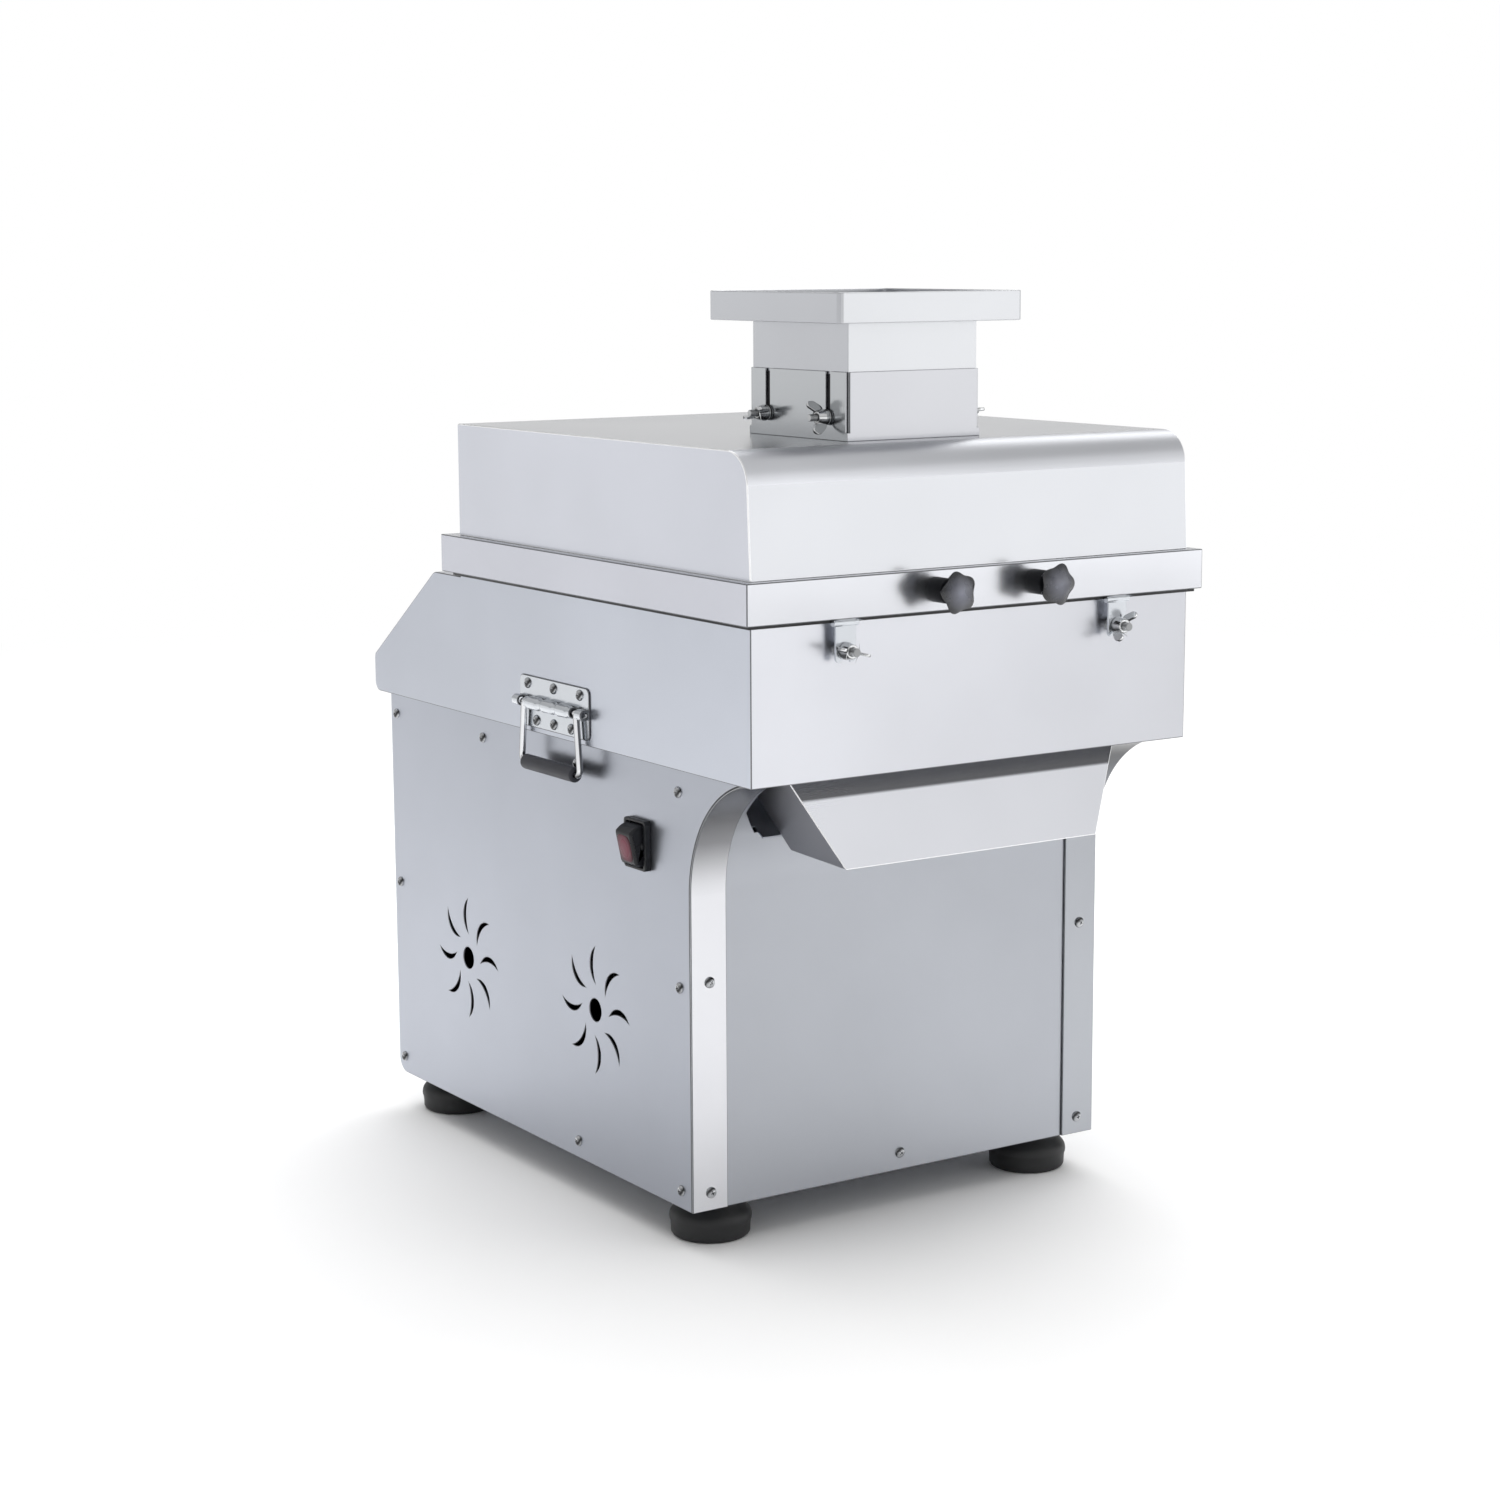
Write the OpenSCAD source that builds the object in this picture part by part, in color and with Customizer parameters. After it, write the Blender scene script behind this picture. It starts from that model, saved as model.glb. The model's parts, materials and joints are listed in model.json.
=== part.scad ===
// Industrial vegetable dicer: two knife rollers with combs under a lift-off hood,
// carried by a sheet steel cabinet that holds the motor and the belt drive.
// Millimetres. +Z is up, the discharge chute faces -Y and the switch faces -X.

/* [Cabinet] */
// Width over the side panels
cab_w = 370; // [360:1:380]
// Depth from the front strips to the rear panel
cab_d = 465; // [440:1:500]
// Height of the side panels
cab_h = 324; // [315:1:345]
// Sheet thickness of the cabinet panels
panel_t = 1.5; // [1:0.1:2]
// Width of a front corner strip
strip_w = 30; // [26:1:34]
// Depth of the strip's inner leg
strip_leg = 14; // [10:1:16]
// Radius of the concave bend under the basin
cove_r = 90; // [84:1:96]
// Radius of the lower rear corner
corner_r = 12; // [8:1:16]
// Height of the base pan's upturned edge
pan_edge = 26; // [20:1:30]

/* [Feet] */
// Height of a rubber foot
foot_h = 30; // [24:1:36]
// Largest diameter of a rubber foot
foot_d = 61; // [54:1:64]
// Distance of a foot's centre from the cabinet's side
foot_in_x = 37; // [35:1:45]
// Distance of a foot's centre from the cabinet's front and rear
foot_in_y = 35; // [33:1:45]

/* [Basin] */
// Width over the basin's side walls
basin_w = 385; // [376:1:395]
// Height of the basin from its underside to its deck
basin_h = 108; // [104:1:116]
// Sheet thickness of the basin and the hood
shell_t = 1.5; // [1:0.1:2]
// Overhang of the basin behind the rear panel
rear_over = 13; // [8:1:20]
// Depth of the sloped rear shoulder
slope_run = 110; // [95:1:120]
// Height of the sloped rear shoulder
slope_rise = 78; // [70:1:84]
// Radius where the deck turns down to the slope
deck_r = 12; // [8:1:18]

/* [Hood] */
// Depth of the hood at its lower edge
hood_d = 413; // [400:1:420]
// Height of the hood above its skirt
hood_h = 86.5; // [80:0.5:95]
// How far the front wall leans back at the top
hood_lean = 4.5; // [3:0.5:7]
// Outer radius of the bend between front wall and top
hood_bend_r = 24; // [18:1:28]
// Overhang of the skirt at the front and sides
skirt_over = 8; // [7:0.5:9]
// Overhang of the skirt at the rear
skirt_rear_over = 16; // [12:1:20]
// Height of the skirt
skirt_h = 29; // [26:1:34]
// Gap between the deck and the skirt's lower edge
skirt_gap = 3.6; // [3:0.2:6]

/* [Feed] */
// Sideways place of the feed tube
feed_x = -20.5; // [-26:0.5:-14]
// Place of the feed tube behind the front panel
feed_y = 21.5; // [18:0.5:26]
// Width of the feed tube
tube_w = 112; // [104:1:116]
// Depth of the feed tube
tube_d = 120; // [112:1:126]
// Sheet thickness of the feed tube, collar and tray
tube_t = 1.5; // [1:0.1:2]
// Length of the feed tube below the hood's top
tube_drop = 118; // [108:1:122]
// Length of the feed tube above the hood's top
tube_rise = 82; // [70:1:95]
// Height of the welded collar
collar_h = 48; // [42:1:56]
// Width of the open slits at the collar's corners
collar_slit = 2.4; // [1.6:0.2:3]
// Width of the hopper tray
tray_w = 159; // [145:1:175]
// Depth of the hopper tray
tray_d = 166; // [150:1:180]
// Height of the hopper tray's wall
tray_h = 21; // [14:1:28]
// Corner radius of the hopper tray
tray_corner = 4; // [3:0.5:8]
// Height of the feed studs above the hood's top at rest
feed_stud_z = 16; // [13:1:18]
// Distance between the two studs on one side of the tube
feed_stud_gap = 76; // [66:1:84]
// Thread diameter of the feed studs
feed_stud_d = 5; // [4:0.5:6]

/* [Knives] */
// Distance between the two knife shafts
shaft_gap = 72; // [70:1:75]
// Height of the knife shafts above the basin's underside
shaft_h = 54; // [52:1:56]
// Diameter of the knife discs
blade_d = 84; // [80:1:86]
// Thickness of a knife disc
blade_t = 1.6; // [1.2:0.1:2]
// Distance between neighbouring discs on one shaft
blade_pitch = 9; // [8.6:0.1:9.2]
// Number of discs on the front shaft
blade_count = 12; // [8:1:12]
// Diameter of the knife shafts between the bearing plates
shaft_d = 25; // [24:1:27]
// Diameter of the knife shafts in the bearings
journal_d = 20; // [18:1:22]
// Diameter of the spacer rings between the discs
spacer_d = 34; // [32:1:38]
// Outer diameter of a knife bearing
bearing_d = 42; // [40:1:46]
// Thickness of the bearing plates
plate_t = 10; // [8:1:12]
// Number of teeth on each knife gear
gear_teeth = 24; // [20:2:28]
// Face width of the knife gears
gear_w = 18; // [14:1:20]

/* [Drive] */
// Place of the motor axis behind the front panel
motor_y = 235; // [225:1:250]
// Height of the motor axis above the floor
motor_z = 127; // [122:1:135]
// Diameter of the motor over its fins
motor_d = 140; // [130:1:146]
// Length of the motor's finned housing
motor_l = 190; // [170:1:195]
// Diameter of the motor shaft
motor_shaft_d = 19; // [16:1:22]
// Sideways place of the belt
belt_x = 125; // [122:1:128]
// Height of the belt's section
belt_h = 8; // [7:0.5:9]
// Width of the belt's outer face
belt_w = 13; // [12:0.5:14]
// Radius of the driven pulley at the belt's inner face
driven_r = 40; // [38:1:42]
// Radius of the motor pulley at the belt's inner face
driver_r = 20; // [18:1:24]
// Width of the pulleys
pulley_w = 20; // [18:1:22]

/* [Discharge] */
// Width of the chute at its top
chute_top_w = 294; // [286:1:296]
// Width of the chute at its lower edge
chute_low_w = 224; // [216:1:240]
// Height of the chute
chute_h = 65; // [58:1:72]
// Setback of the chute's top behind the basin's front wall
chute_setback = 26; // [22:1:30]
// How far the chute's front plate reaches forward at its lower edge
chute_rake = 23; // [18:1:26]
// Depth of the chute at its lower edge
chute_depth = 66; // [60:1:70]
// Width of the mouth in the front panel
mouth_w = 300; // [298:1:304]
// Height of the mouth
mouth_h = 48.5; // [46:0.5:51]
// Size of the mouth's slanted lower corners
mouth_corner = 14; // [10:1:18]
// Slope of the discharge slide in degrees
slide_angle = 32; // [30:1:33]

/* [Fittings] */
// Place of the carry handles behind the front panel
handle_y = 176; // [165:1:190]
// Width of a handle plate
handle_w = 104; // [98:1:112]
// Height of a handle plate
handle_h = 39; // [36:1:42]
// Thickness of a handle plate
handle_t = 1.2; // [1:0.1:1.6]
// Distance between the bail's legs at the pivot
bail_w = 78; // [72:1:82]
// Wire diameter of the bail
bail_d = 5; // [4:0.5:5.5]
// Drop of the grip below the bail's pivot
bail_drop = 46; // [42:1:52]
// How far each leg leans outwards at the grip
bail_splay = 5; // [3:0.5:6]
// Radius of the bend at the bail's lower corners
bail_bend_r = 5; // [4:0.5:7]
// Diameter of the grip
grip_d = 11.5; // [10:0.5:13]
// Place of the switch behind the front panel
switch_y = 68; // [60:1:80]
// Height of the switch below the basin's underside
switch_drop = 63.5; // [56:0.5:72]
// Width of the switch frame
switch_w = 30; // [28:1:32]
// Height of the switch frame
switch_h = 37; // [35:1:40]
// Distance between the two star knobs
knob_gap = 87; // [76:1:110]
// Diameter of a star knob
knob_d = 30; // [28:1:34]
// How far a star knob stands out of the skirt
knob_out = 30; // [28:1:34]
// Diameter of a star knob's screw
knob_screw_d = 8; // [6:1:8]
// Distance between the two hasp tabs
clamp_gap = 240; // [200:1:270]
// Height of the clamp studs above the basin's underside
clamp_h = 90; // [84:1:93]
// Thread diameter of the clamp studs
clamp_stud_d = 6; // [5:0.5:6]
// Width of a hasp tab
tab_w = 17; // [16:1:20]
// Places of the two side vents behind the front panel
vent_ys = [135.5, 337];
// Height of the side vents above the floor
vent_z = 152; // [120:1:165]
// Outer radius of a side vent
vent_r = 48; // [44:1:52]
// Sideways place of the cable gland
gland_x = 120; // [80:1:140]
// Height of the cable gland above the floor
gland_z = 92; // [85:1:130]

/* [Clearances] */
// Gap between sheet pieces that meet
seam = 0.3; // [0.2:0.05:0.4]
// Gap between pieces that move past each other
run_gap = 0.5; // [0.4:0.05:0.6]
// Radial gap of a pin or shaft in its hole
pin_gap = 0.08; // [0.05:0.01:0.1]

/* [Hidden] */
$fn = 64;

// Cabinet places
half_cab = cab_w / 2;
cab_z0 = foot_h;
cab_z1 = foot_h + cab_h;
cove_z = cab_z1 - cove_r;
panel_front = panel_t + seam;
leg_x = half_cab - panel_t - seam;
inner_x = leg_x - panel_t - seam;
inner_cove_r = cove_r + 2 * panel_t + seam;
pan_z = cab_z0 + panel_t;
pan_front = panel_front + panel_t + seam;
pan_back = cab_d - panel_t - seam;

// Basin places
half_basin = basin_w / 2;
basin_front = -cove_r;
basin_back = cab_d + rear_over;
floor_z = cab_z1 + shell_t;
deck_z = cab_z1 + basin_h;
deck_back = basin_back - slope_run;
slope_z = deck_z - slope_rise;

// Hood places
skirt_z0 = deck_z + skirt_gap;
skirt_z1 = skirt_z0 + skirt_h;
rim_z = skirt_z1 - shell_t - seam;
hood_z1 = skirt_z1 + hood_h;
hood_back = basin_front + hood_d;
skirt_front = basin_front - skirt_over;
skirt_back = hood_back + skirt_rear_over;
half_skirt = half_basin + skirt_over;

// Feed places
collar_gap = run_gap;
collar_w = tube_w + 2 * (collar_gap + tube_t);
collar_d = tube_d + 2 * (collar_gap + tube_t);
tube_z0 = hood_z1 - tube_drop;
tube_z1 = hood_z1 + tube_rise;
stud_z = hood_z1 + feed_stud_z;
feed_stud_ys = [feed_y - feed_stud_gap / 2, feed_y + feed_stud_gap / 2];
washer_t = 1.2;
washer_out = collar_w / 2 + seam;
nut_out = washer_out + washer_t + seam;
feed_stud_out = nut_out + 14;

// Knife places
shaft_z = cab_z1 + shaft_h;
front_y = feed_y - shaft_gap / 2;
rear_y = feed_y + shaft_gap / 2;
plate_gap = tube_w + 12;
plate_x0 = feed_x - plate_gap / 2;
plate_x1 = feed_x + plate_gap / 2;
plate_over = blade_d / 2 + 14;
plate_y0 = front_y - plate_over;
plate_y1 = rear_y + plate_over;
plate_top = shaft_z + bearing_d / 2 + 20;
bulkhead_x = plate_x1 + plate_t + seam;
gear_x = bulkhead_x + shell_t + 4;
gear_module = shaft_gap / gear_teeth;
gear_hub = 6;
gear_bore = journal_d / 2 + pin_gap;
comb_t = blade_pitch - blade_t - 2 * 0.7;
comb_bar = 9;
comb_h = 14;

// Drive places
driver_at = [motor_y, motor_z];
driven_at = [rear_y, shaft_z];
belt_low_w = belt_w - 2 * belt_h * tan(20);
pulley_over = belt_h - 1;
belt_span = driver_at - driven_at;
belt_line = atan2(belt_span[1], belt_span[0]);
belt_wrap = acos((driven_r - driver_r) / norm(belt_span));
belt_run = sqrt(pow(norm(belt_span), 2) - pow(driven_r - driver_r, 2));
// Horizontal thickness of the front run
belt_depth = belt_h / abs(cos(belt_line - belt_wrap));
motor_half = motor_l / 2;
motor_core_r = motor_d / 2 - 6;
rail_z0 = pan_z + panel_t;
rail_z1 = motor_z - motor_d / 2;

// Discharge places
mouth_z = cab_z1 - mouth_h;
slide_y = sqrt(pow(cove_r + panel_t + seam, 2) - pow(mouth_z - cove_z, 2)) - cove_r;
slide_z = mouth_z + seam;
slide_wide = mouth_w / 2 + 1;
slide_lip = 8;
shoulder_y = belt_at(cab_z1, 1) - belt_depth - 8;
slide_top_y = rear_y + blade_d / 2 + 4;
drop_y0 = front_y - blade_d / 2 - 10;
drop_y1 = slide_y + (floor_z + seam - slide_z) / tan(slide_angle);
drop_x0 = plate_x0;
drop_x1 = plate_x1;

// Fitting places
bail_out = handle_t + bail_d / 2 + 0.9;
bail_x = half_basin + bail_out;
handle_z0 = cab_z1 + 4;
bail_z = handle_z0 + handle_h / 2;
barrel_r = bail_d / 2 + pin_gap + 1.6;
slot_w = bail_d + 2 * run_gap + 1;
bail_lean = atan(bail_splay / bail_drop);
bail_rod = bail_w / 2 + bail_splay - bail_bend_r * tan(45 + bail_lean / 2);
switch_z = cab_z1 - switch_drop;
window_w = switch_w - 7;
window_h = switch_h - 5;
frame_t = 5;
pivot_out = frame_t - 2;
pivot_r = 1.5;
rocker_r = window_h / 2 - run_gap;
rocker_face = 10;
rocker_back = 6;
rocker_tilt = 12;
knob_z = (skirt_z0 + skirt_z1) / 2 + 1;
clamp_z = cab_z1 + clamp_h;
tab_t = 2;
clamp_nut_y = skirt_front - seam;
gland_out = 23;
screw_r = 2;
screw_head_r = 4.2;
screw_head_h = 2.6;
screw_in = 15.5;
screw_low_z = cab_z0 + 13.5;
screw_mid_z = cab_z0 + 164;
screw_top_z = cab_z1 - 18;
screw_back_y = cab_d - 10;

// The origin lies on the floor under the middle of the whole machine
front_end = skirt_front - knob_out;
back_end = max(basin_back, cab_d + gland_out);
depth_middle = (front_end + back_end) / 2;

// Screws on a side panel as [y, z], on a strip as z, on the rear panel as [x, z]
side_screws = [
    [screw_in, screw_low_z], [handle_y - 13, screw_low_z], [screw_back_y, screw_low_z],
    [screw_in, screw_mid_z], [screw_back_y, screw_mid_z],
    [screw_in, screw_top_z], [handle_y - 18, screw_top_z], [cab_d - 160, screw_top_z],
    [screw_back_y, screw_top_z]
];
strip_screws = [screw_low_z, screw_mid_z + 5];
rear_screws = [
    for (x = [-1, 0, 1], z = [screw_low_z + pan_edge, screw_top_z]) [x * (inner_x - screw_in), z]
];
handle_screws = [
    for (side = [-1, 0, 1], upper = [0, 1])
        [
            handle_y + side * (upper ? handle_w / 2 - 13 : bail_w / 2 - 13),
            upper ? handle_z0 + handle_h - 6 : handle_z0 + 6
        ]
];

// Outline functions
function unit(v) = v / norm(v);
function left_of(v) = [-v[1], v[0]];
function before(points, i) = points[(i + len(points) - 1) % len(points)];
function after(points, i) = points[(i + 1) % len(points)];
// Corner of a counter-clockwise outline after both its edges move inwards by t
function inset_corner(a, p, b, t) =
    let (n1 = left_of(unit(p - a)), n2 = left_of(unit(b - p)))
    p + t * (n1 + n2) / (1 + n1 * n2);
function inset(points, t) = [
    for (i = [0 : len(points) - 1]) inset_corner(before(points, i), points[i], after(points, i), t)
];
function box_points(low, high) = [low, [high[0], low[1]], high, [low[0], high[1]]];
// Point at an angle on a circle
function polar(r, angle) = r * [cos(angle), sin(angle)];
// Points along an arc
function arc(centre, r, from, to, steps) = [
    for (i = [0 : steps]) centre + polar(r, from + (to - from) * i / steps)
];
// Place along Y where a belt run crosses a height; side 1 is the front run and -1 the rear run
function belt_at(z, side) =
    let (
        normal = polar(1, belt_line - side * belt_wrap),
        p = driven_at + driven_r * normal,
        q = driver_at + driver_r * normal
    )
    p[0] + (q[0] - p[0]) * (z - p[1]) / (q[1] - p[1]);
// Point on an involute, at radius r, turned so that the curve starts at the base circle
function involute_angle(base_r, r) =
    r <= base_r ? 0 : sqrt(pow(r / base_r, 2) - 1) * 180 / PI - acos(base_r / r);

// Placing
module placed() translate([0, -depth_middle, 0]) children();
module along_x(x = 0) translate([x, 0, 0]) rotate([90, 0, 90]) children();
module along_front(y = 0) translate([0, y, 0]) rotate([90, 0, 0]) children();
module across(w) along_x() linear_extrude(w, center = true) children();
module steel() color("silver") placed() children();
module dark() color([0.1, 0.1, 0.1]) placed() children();

// Waste outside a rounded corner p between its neighbours a and b
module corner_waste(a, p, b, r) {
    u = unit(a - p);
    v = unit(b - p);
    half = acos(u * v) / 2;
    middle = unit(u + v);
    centre = p + middle * r / sin(half);
    run = r / tan(half);
    difference() {
        polygon([p - middle, p + u * run, centre, p + v * run]);
        translate(centre) circle(r);
    }
}

module rounded(points, radii) {
    difference() {
        polygon(points);
        for (i = [0 : len(points) - 1])
            if (radii[i] > 0)
                corner_waste(before(points, i), points[i], after(points, i), radii[i]);
    }
}

module rounded_box(low, high, r) rounded(box_points(low, high), [r, r, r, r]);

// Closed sheet shell of width w, from its side outline
module shell(points, radii, w, t) {
    difference() {
        across(w) rounded(points, radii);
        across(w - 2 * t) rounded(inset(points, t), [for (r = radii) max(r - t, 0)]);
    }
}

// Straight-walled duct of rectangular section around the feed axis
module duct(w, d, t, z0, z1) {
    translate([feed_x, feed_y, z0])
        difference() {
            translate([-w / 2, -d / 2, 0]) cube([w, d, z1 - z0]);
            translate([t - w / 2, t - d / 2, -1]) cube([w - 2 * t, d - 2 * t, z1 - z0 + 2]);
        }
}

// Bent band that runs up the front and follows the concave bend, between two radii
module cove_band(r0, r1, z0) {
    y0 = r0 - cove_r;
    intersection() {
        union() {
            translate([y0, z0]) square([r1 - r0, cove_z - z0]);
            translate([-cove_r, cove_z])
                difference() {
                    intersection() {
                        circle(r1);
                        square(r1 + 1);
                    }
                    circle(r0);
                }
        }
        translate([-2 * cove_r, 0]) square([4 * cove_r, cab_z1 - seam]);
    }
}

// Pan head screw, its axis along +Z and its seat at z = 0
module pan_screw(depth) {
    translate([0, 0, -depth]) cylinder(r = screw_r, h = depth);
    rotate_extrude()
        polygon([
            [0, 0], [screw_head_r, 0], [screw_head_r, 0.4 * screw_head_h],
            [0.62 * screw_head_r, screw_head_h], [0, screw_head_h]
        ]);
}

// Wing nut, its axis along +Z and its seat at z = 0
module wing_nut(stud_d) {
    bore = stud_d / 2 + pin_gap;
    rotate_extrude()
        polygon([[bore, 0], [bore + 3.2, 0], [bore + 3.2, 2], [bore + 1.8, 8], [bore, 8]]);
    for (side = [0, 180])
        rotate([0, 0, side])
            translate([bore + 1, 0, 0])
                rotate([90, 0, 0])
                    linear_extrude(2.2, center = true)
                        rounded(
                            [[0, 1], [4.4, 1.5], [8.8, 7.5], [8.8, 13], [4.6, 13], [0, 7]],
                            [0, 4, 2.5, 2.8, 2.2, 0]
                        );
}

module base_pan() {
    low = [pan_front, pan_z];
    high = [pan_back, pan_z + pan_edge];
    outline = box_points(low, high);
    steel()
        difference() {
            across(2 * inner_x) rounded(outline, [0, corner_r - panel_t, 0, 0]);
            across(2 * (inner_x - panel_t))
                rounded(
                    box_points(low + [panel_t, panel_t], high + [-panel_t, 1]),
                    [0, corner_r - 2 * panel_t, 0, 0]
                );
        }
}

module rubber_feet() {
    r = foot_d / 2;
    top = foot_h - seam;
    bulge = 0.3 * top;
    profile = concat(
        [[0, 0], [r - 9, 0]],
        arc([r - 5, 4], 4, 250, 340, 4),
        arc([r - bulge, 0.47 * top], bulge, -25, 50, 6),
        [[r - 7, top - 4], [r - 7, top], [12, top], [12, pan_z], [0, pan_z]]
    );
    dark()
        for (x = [foot_in_x - half_cab, half_cab - foot_in_x], y = [foot_in_y, cab_d - foot_in_y])
            translate([x, y, 0]) rotate_extrude() polygon(profile);
}

// Side vent: a hub hole with tapered crescent slots around it
module vent_holes() {
    tip0 = 0.44 * vent_r;
    chord = vent_r - tip0;
    outer_bow = 7;
    inner_bow = 3.2;
    circle(0.18 * vent_r);
    for (i = [0 : 7])
        rotate(i * 45)
            translate([(tip0 + vent_r) / 2, 0])
                difference() {
                    bow_circle(chord, outer_bow);
                    bow_circle(chord, inner_bow);
                }
}

// Circle through both ends of a chord, with its arc bowed sideways
module bow_circle(chord, bow) {
    r = (chord * chord / 4 + bow * bow) / (2 * bow);
    translate([0, bow - r]) circle(r);
}

module side_outline() {
    points = [
        [panel_front, cab_z0], [cab_d, cab_z0], [cab_d, cab_z1 - seam],
        [-cove_r, cab_z1 - seam], [-cove_r, cove_z], [panel_front, cove_z]
    ];
    difference() {
        rounded(points, [0, corner_r, 0, 0, 0, 0]);
        translate([-cove_r, cove_z]) circle(cove_r + panel_front);
        for (at = side_screws) translate(at) circle(screw_r + pin_gap);
        for (y = vent_ys) translate([y, vent_z]) mirror([1, 0]) vent_holes();
    }
}

module left_side_panel() {
    steel()
        difference() {
            along_x(-half_cab) linear_extrude(panel_t) side_outline();
            along_x(-half_cab - 1)
                linear_extrude(panel_t + 2)
                    translate([switch_y, switch_z])
                        square([window_w + 3 + 2 * seam, window_h + 3 + 2 * seam], center = true);
        }
}

module right_side_panel() {
    steel() along_x(half_cab - panel_t) linear_extrude(panel_t) side_outline();
}

module rear_panel() {
    turn_in = corner_r + 4;
    outer = box_points([cab_d - turn_in, cab_z0], [cab_d, cab_z1 - seam]);
    inner = box_points([cab_d - turn_in - 1, pan_z], [cab_d - panel_t, cab_z1 + 1]);
    steel()
        difference() {
            across(2 * leg_x) rounded(outer, [0, corner_r, 0, 0]);
            across(2 * leg_x + 2) rounded(inner, [0, corner_r - panel_t, 0, 0]);
            for (at = rear_screws)
                translate([at[0], cab_d + 1, at[1]])
                    rotate([90, 0, 0]) cylinder(r = screw_r + pin_gap, h = panel_t + 2);
            translate([gland_x, cab_d + 1, gland_z])
                rotate([90, 0, 0]) cylinder(r = 8 + pin_gap, h = panel_t + 2);
        }
}

module front_panel() {
    half_mouth = mouth_w / 2;
    steel()
        difference() {
            across(2 * inner_x)
                cove_band(cove_r + panel_front, inner_cove_r, cab_z0);
            along_front(cove_r)
                linear_extrude(3 * cove_r)
                    polygon([
                        [mouth_corner - half_mouth, mouth_z], [half_mouth - mouth_corner, mouth_z],
                        [half_mouth, mouth_z + 1.25 * mouth_corner], [half_mouth, cab_z1 + 1],
                        [-half_mouth, cab_z1 + 1], [-half_mouth, mouth_z + 1.25 * mouth_corner]
                    ]);
            translate([0, panel_front - 1, screw_low_z])
                rotate([-90, 0, 0]) cylinder(r = screw_r + pin_gap, h = panel_t + 2);
        }
}

// Corner strip on the +X side: a bright face that follows the bend, with an inner leg
module corner_strip() {
    difference() {
        union() {
            along_x(half_cab - strip_w)
                linear_extrude(strip_w) cove_band(cove_r, cove_r + panel_t, cab_z0);
            along_x(leg_x - panel_t)
                linear_extrude(panel_t) cove_band(cove_r, cove_r + strip_leg, cab_z0);
        }
        for (z = strip_screws)
            translate([half_cab - screw_in, -1, z])
                rotate([-90, 0, 0]) cylinder(r = screw_r + pin_gap, h = panel_t + 2);
    }
}

module right_corner_strip() {
    color("gainsboro") placed() corner_strip();
}

module left_corner_strip() {
    color("gainsboro") placed() mirror([1, 0, 0]) corner_strip();
}

module panel_screws() {
    steel() {
        for (side = [-1, 1]) {
            for (at = side_screws)
                translate([side * half_cab, at[0], at[1]]) rotate([0, side * 90, 0]) pan_screw(panel_t);
            for (at = handle_screws)
                translate([side * (half_basin + handle_t), at[0], at[1]])
                    rotate([0, side * 90, 0]) pan_screw(handle_t);
            for (z = strip_screws)
                translate([side * (half_cab - screw_in), 0, z]) rotate([90, 0, 0]) pan_screw(panel_t);
        }
        for (at = rear_screws)
            translate([at[0], cab_d, at[1]]) rotate([-90, 0, 0]) pan_screw(panel_t);
        translate([0, panel_front, screw_low_z]) rotate([90, 0, 0]) pan_screw(panel_t);
    }
}

module cable_gland() {
    dark()
        translate([gland_x, cab_d, gland_z])
            rotate([-90, 0, 0])
                difference() {
                    union() {
                        translate([0, 0, -panel_t - 8]) cylinder(r = 8, h = panel_t + 10);
                        cylinder(r = 13, h = 6, $fn = 6);
                        translate([0, 0, 6])
                            rotate_extrude()
                                polygon([
                                    [0, 0], [11, 0], [11, 10], [8, gland_out - 6], [0, gland_out - 6]
                                ]);
                    }
                    translate([0, 0, -panel_t - 9]) cylinder(r = 4.5, h = panel_t + gland_out + 10);
                }
}

// Side outline of the basin, with the raised rim that the hood sits on
basin_points = [
    [basin_front, cab_z1], [basin_back, cab_z1], [basin_back, slope_z], [deck_back, deck_z],
    [hood_back, deck_z], [hood_back, rim_z], [basin_front, rim_z]
];
basin_radii = [0, 8, 6, deck_r, 0, 0, 0];

module basin() {
    open_w = basin_w - 2 * shell_t;
    open_d = hood_back - basin_front - 2 * shell_t;
    steel()
        difference() {
            shell(basin_points, basin_radii, basin_w, shell_t);
            translate([-open_w / 2, basin_front + shell_t, rim_z - 3 * shell_t])
                cube([open_w, open_d, 4 * shell_t]);
            translate([drop_x0, drop_y0, cab_z1 - 1])
                cube([drop_x1 - drop_x0, drop_y1 - drop_y0, shell_t + 2]);
            belt_slot();
            for (side = [-1, 1], at = handle_screws)
                translate([side * half_basin, at[0], at[1]])
                    rotate([0, 90, 0]) cylinder(r = screw_r, h = 3 * shell_t, center = true);
        }
}

// Opening in the basin floor for the two runs of the belt
module belt_slot() {
    slot = pulley_w + 6;
    front = belt_at(floor_z, 1) - belt_depth - 6;
    rear = belt_at(cab_z1, -1) + belt_depth + 6;
    translate([belt_x - slot / 2, front, cab_z1 - 1]) cube([slot, rear - front, shell_t + 2]);
}

module gear_bulkhead() {
    steel()
        difference() {
            along_x(bulkhead_x)
                linear_extrude(shell_t)
                    rounded_box(
                        [basin_front + shell_t + seam, floor_z],
                        [hood_back - shell_t - seam, rim_z - 4], 6
                    );
            for (y = [front_y, rear_y])
                along_x(bulkhead_x - 1)
                    translate([y, shaft_z]) cylinder(r = journal_d / 2 + 2, h = shell_t + 2);
        }
}

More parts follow.
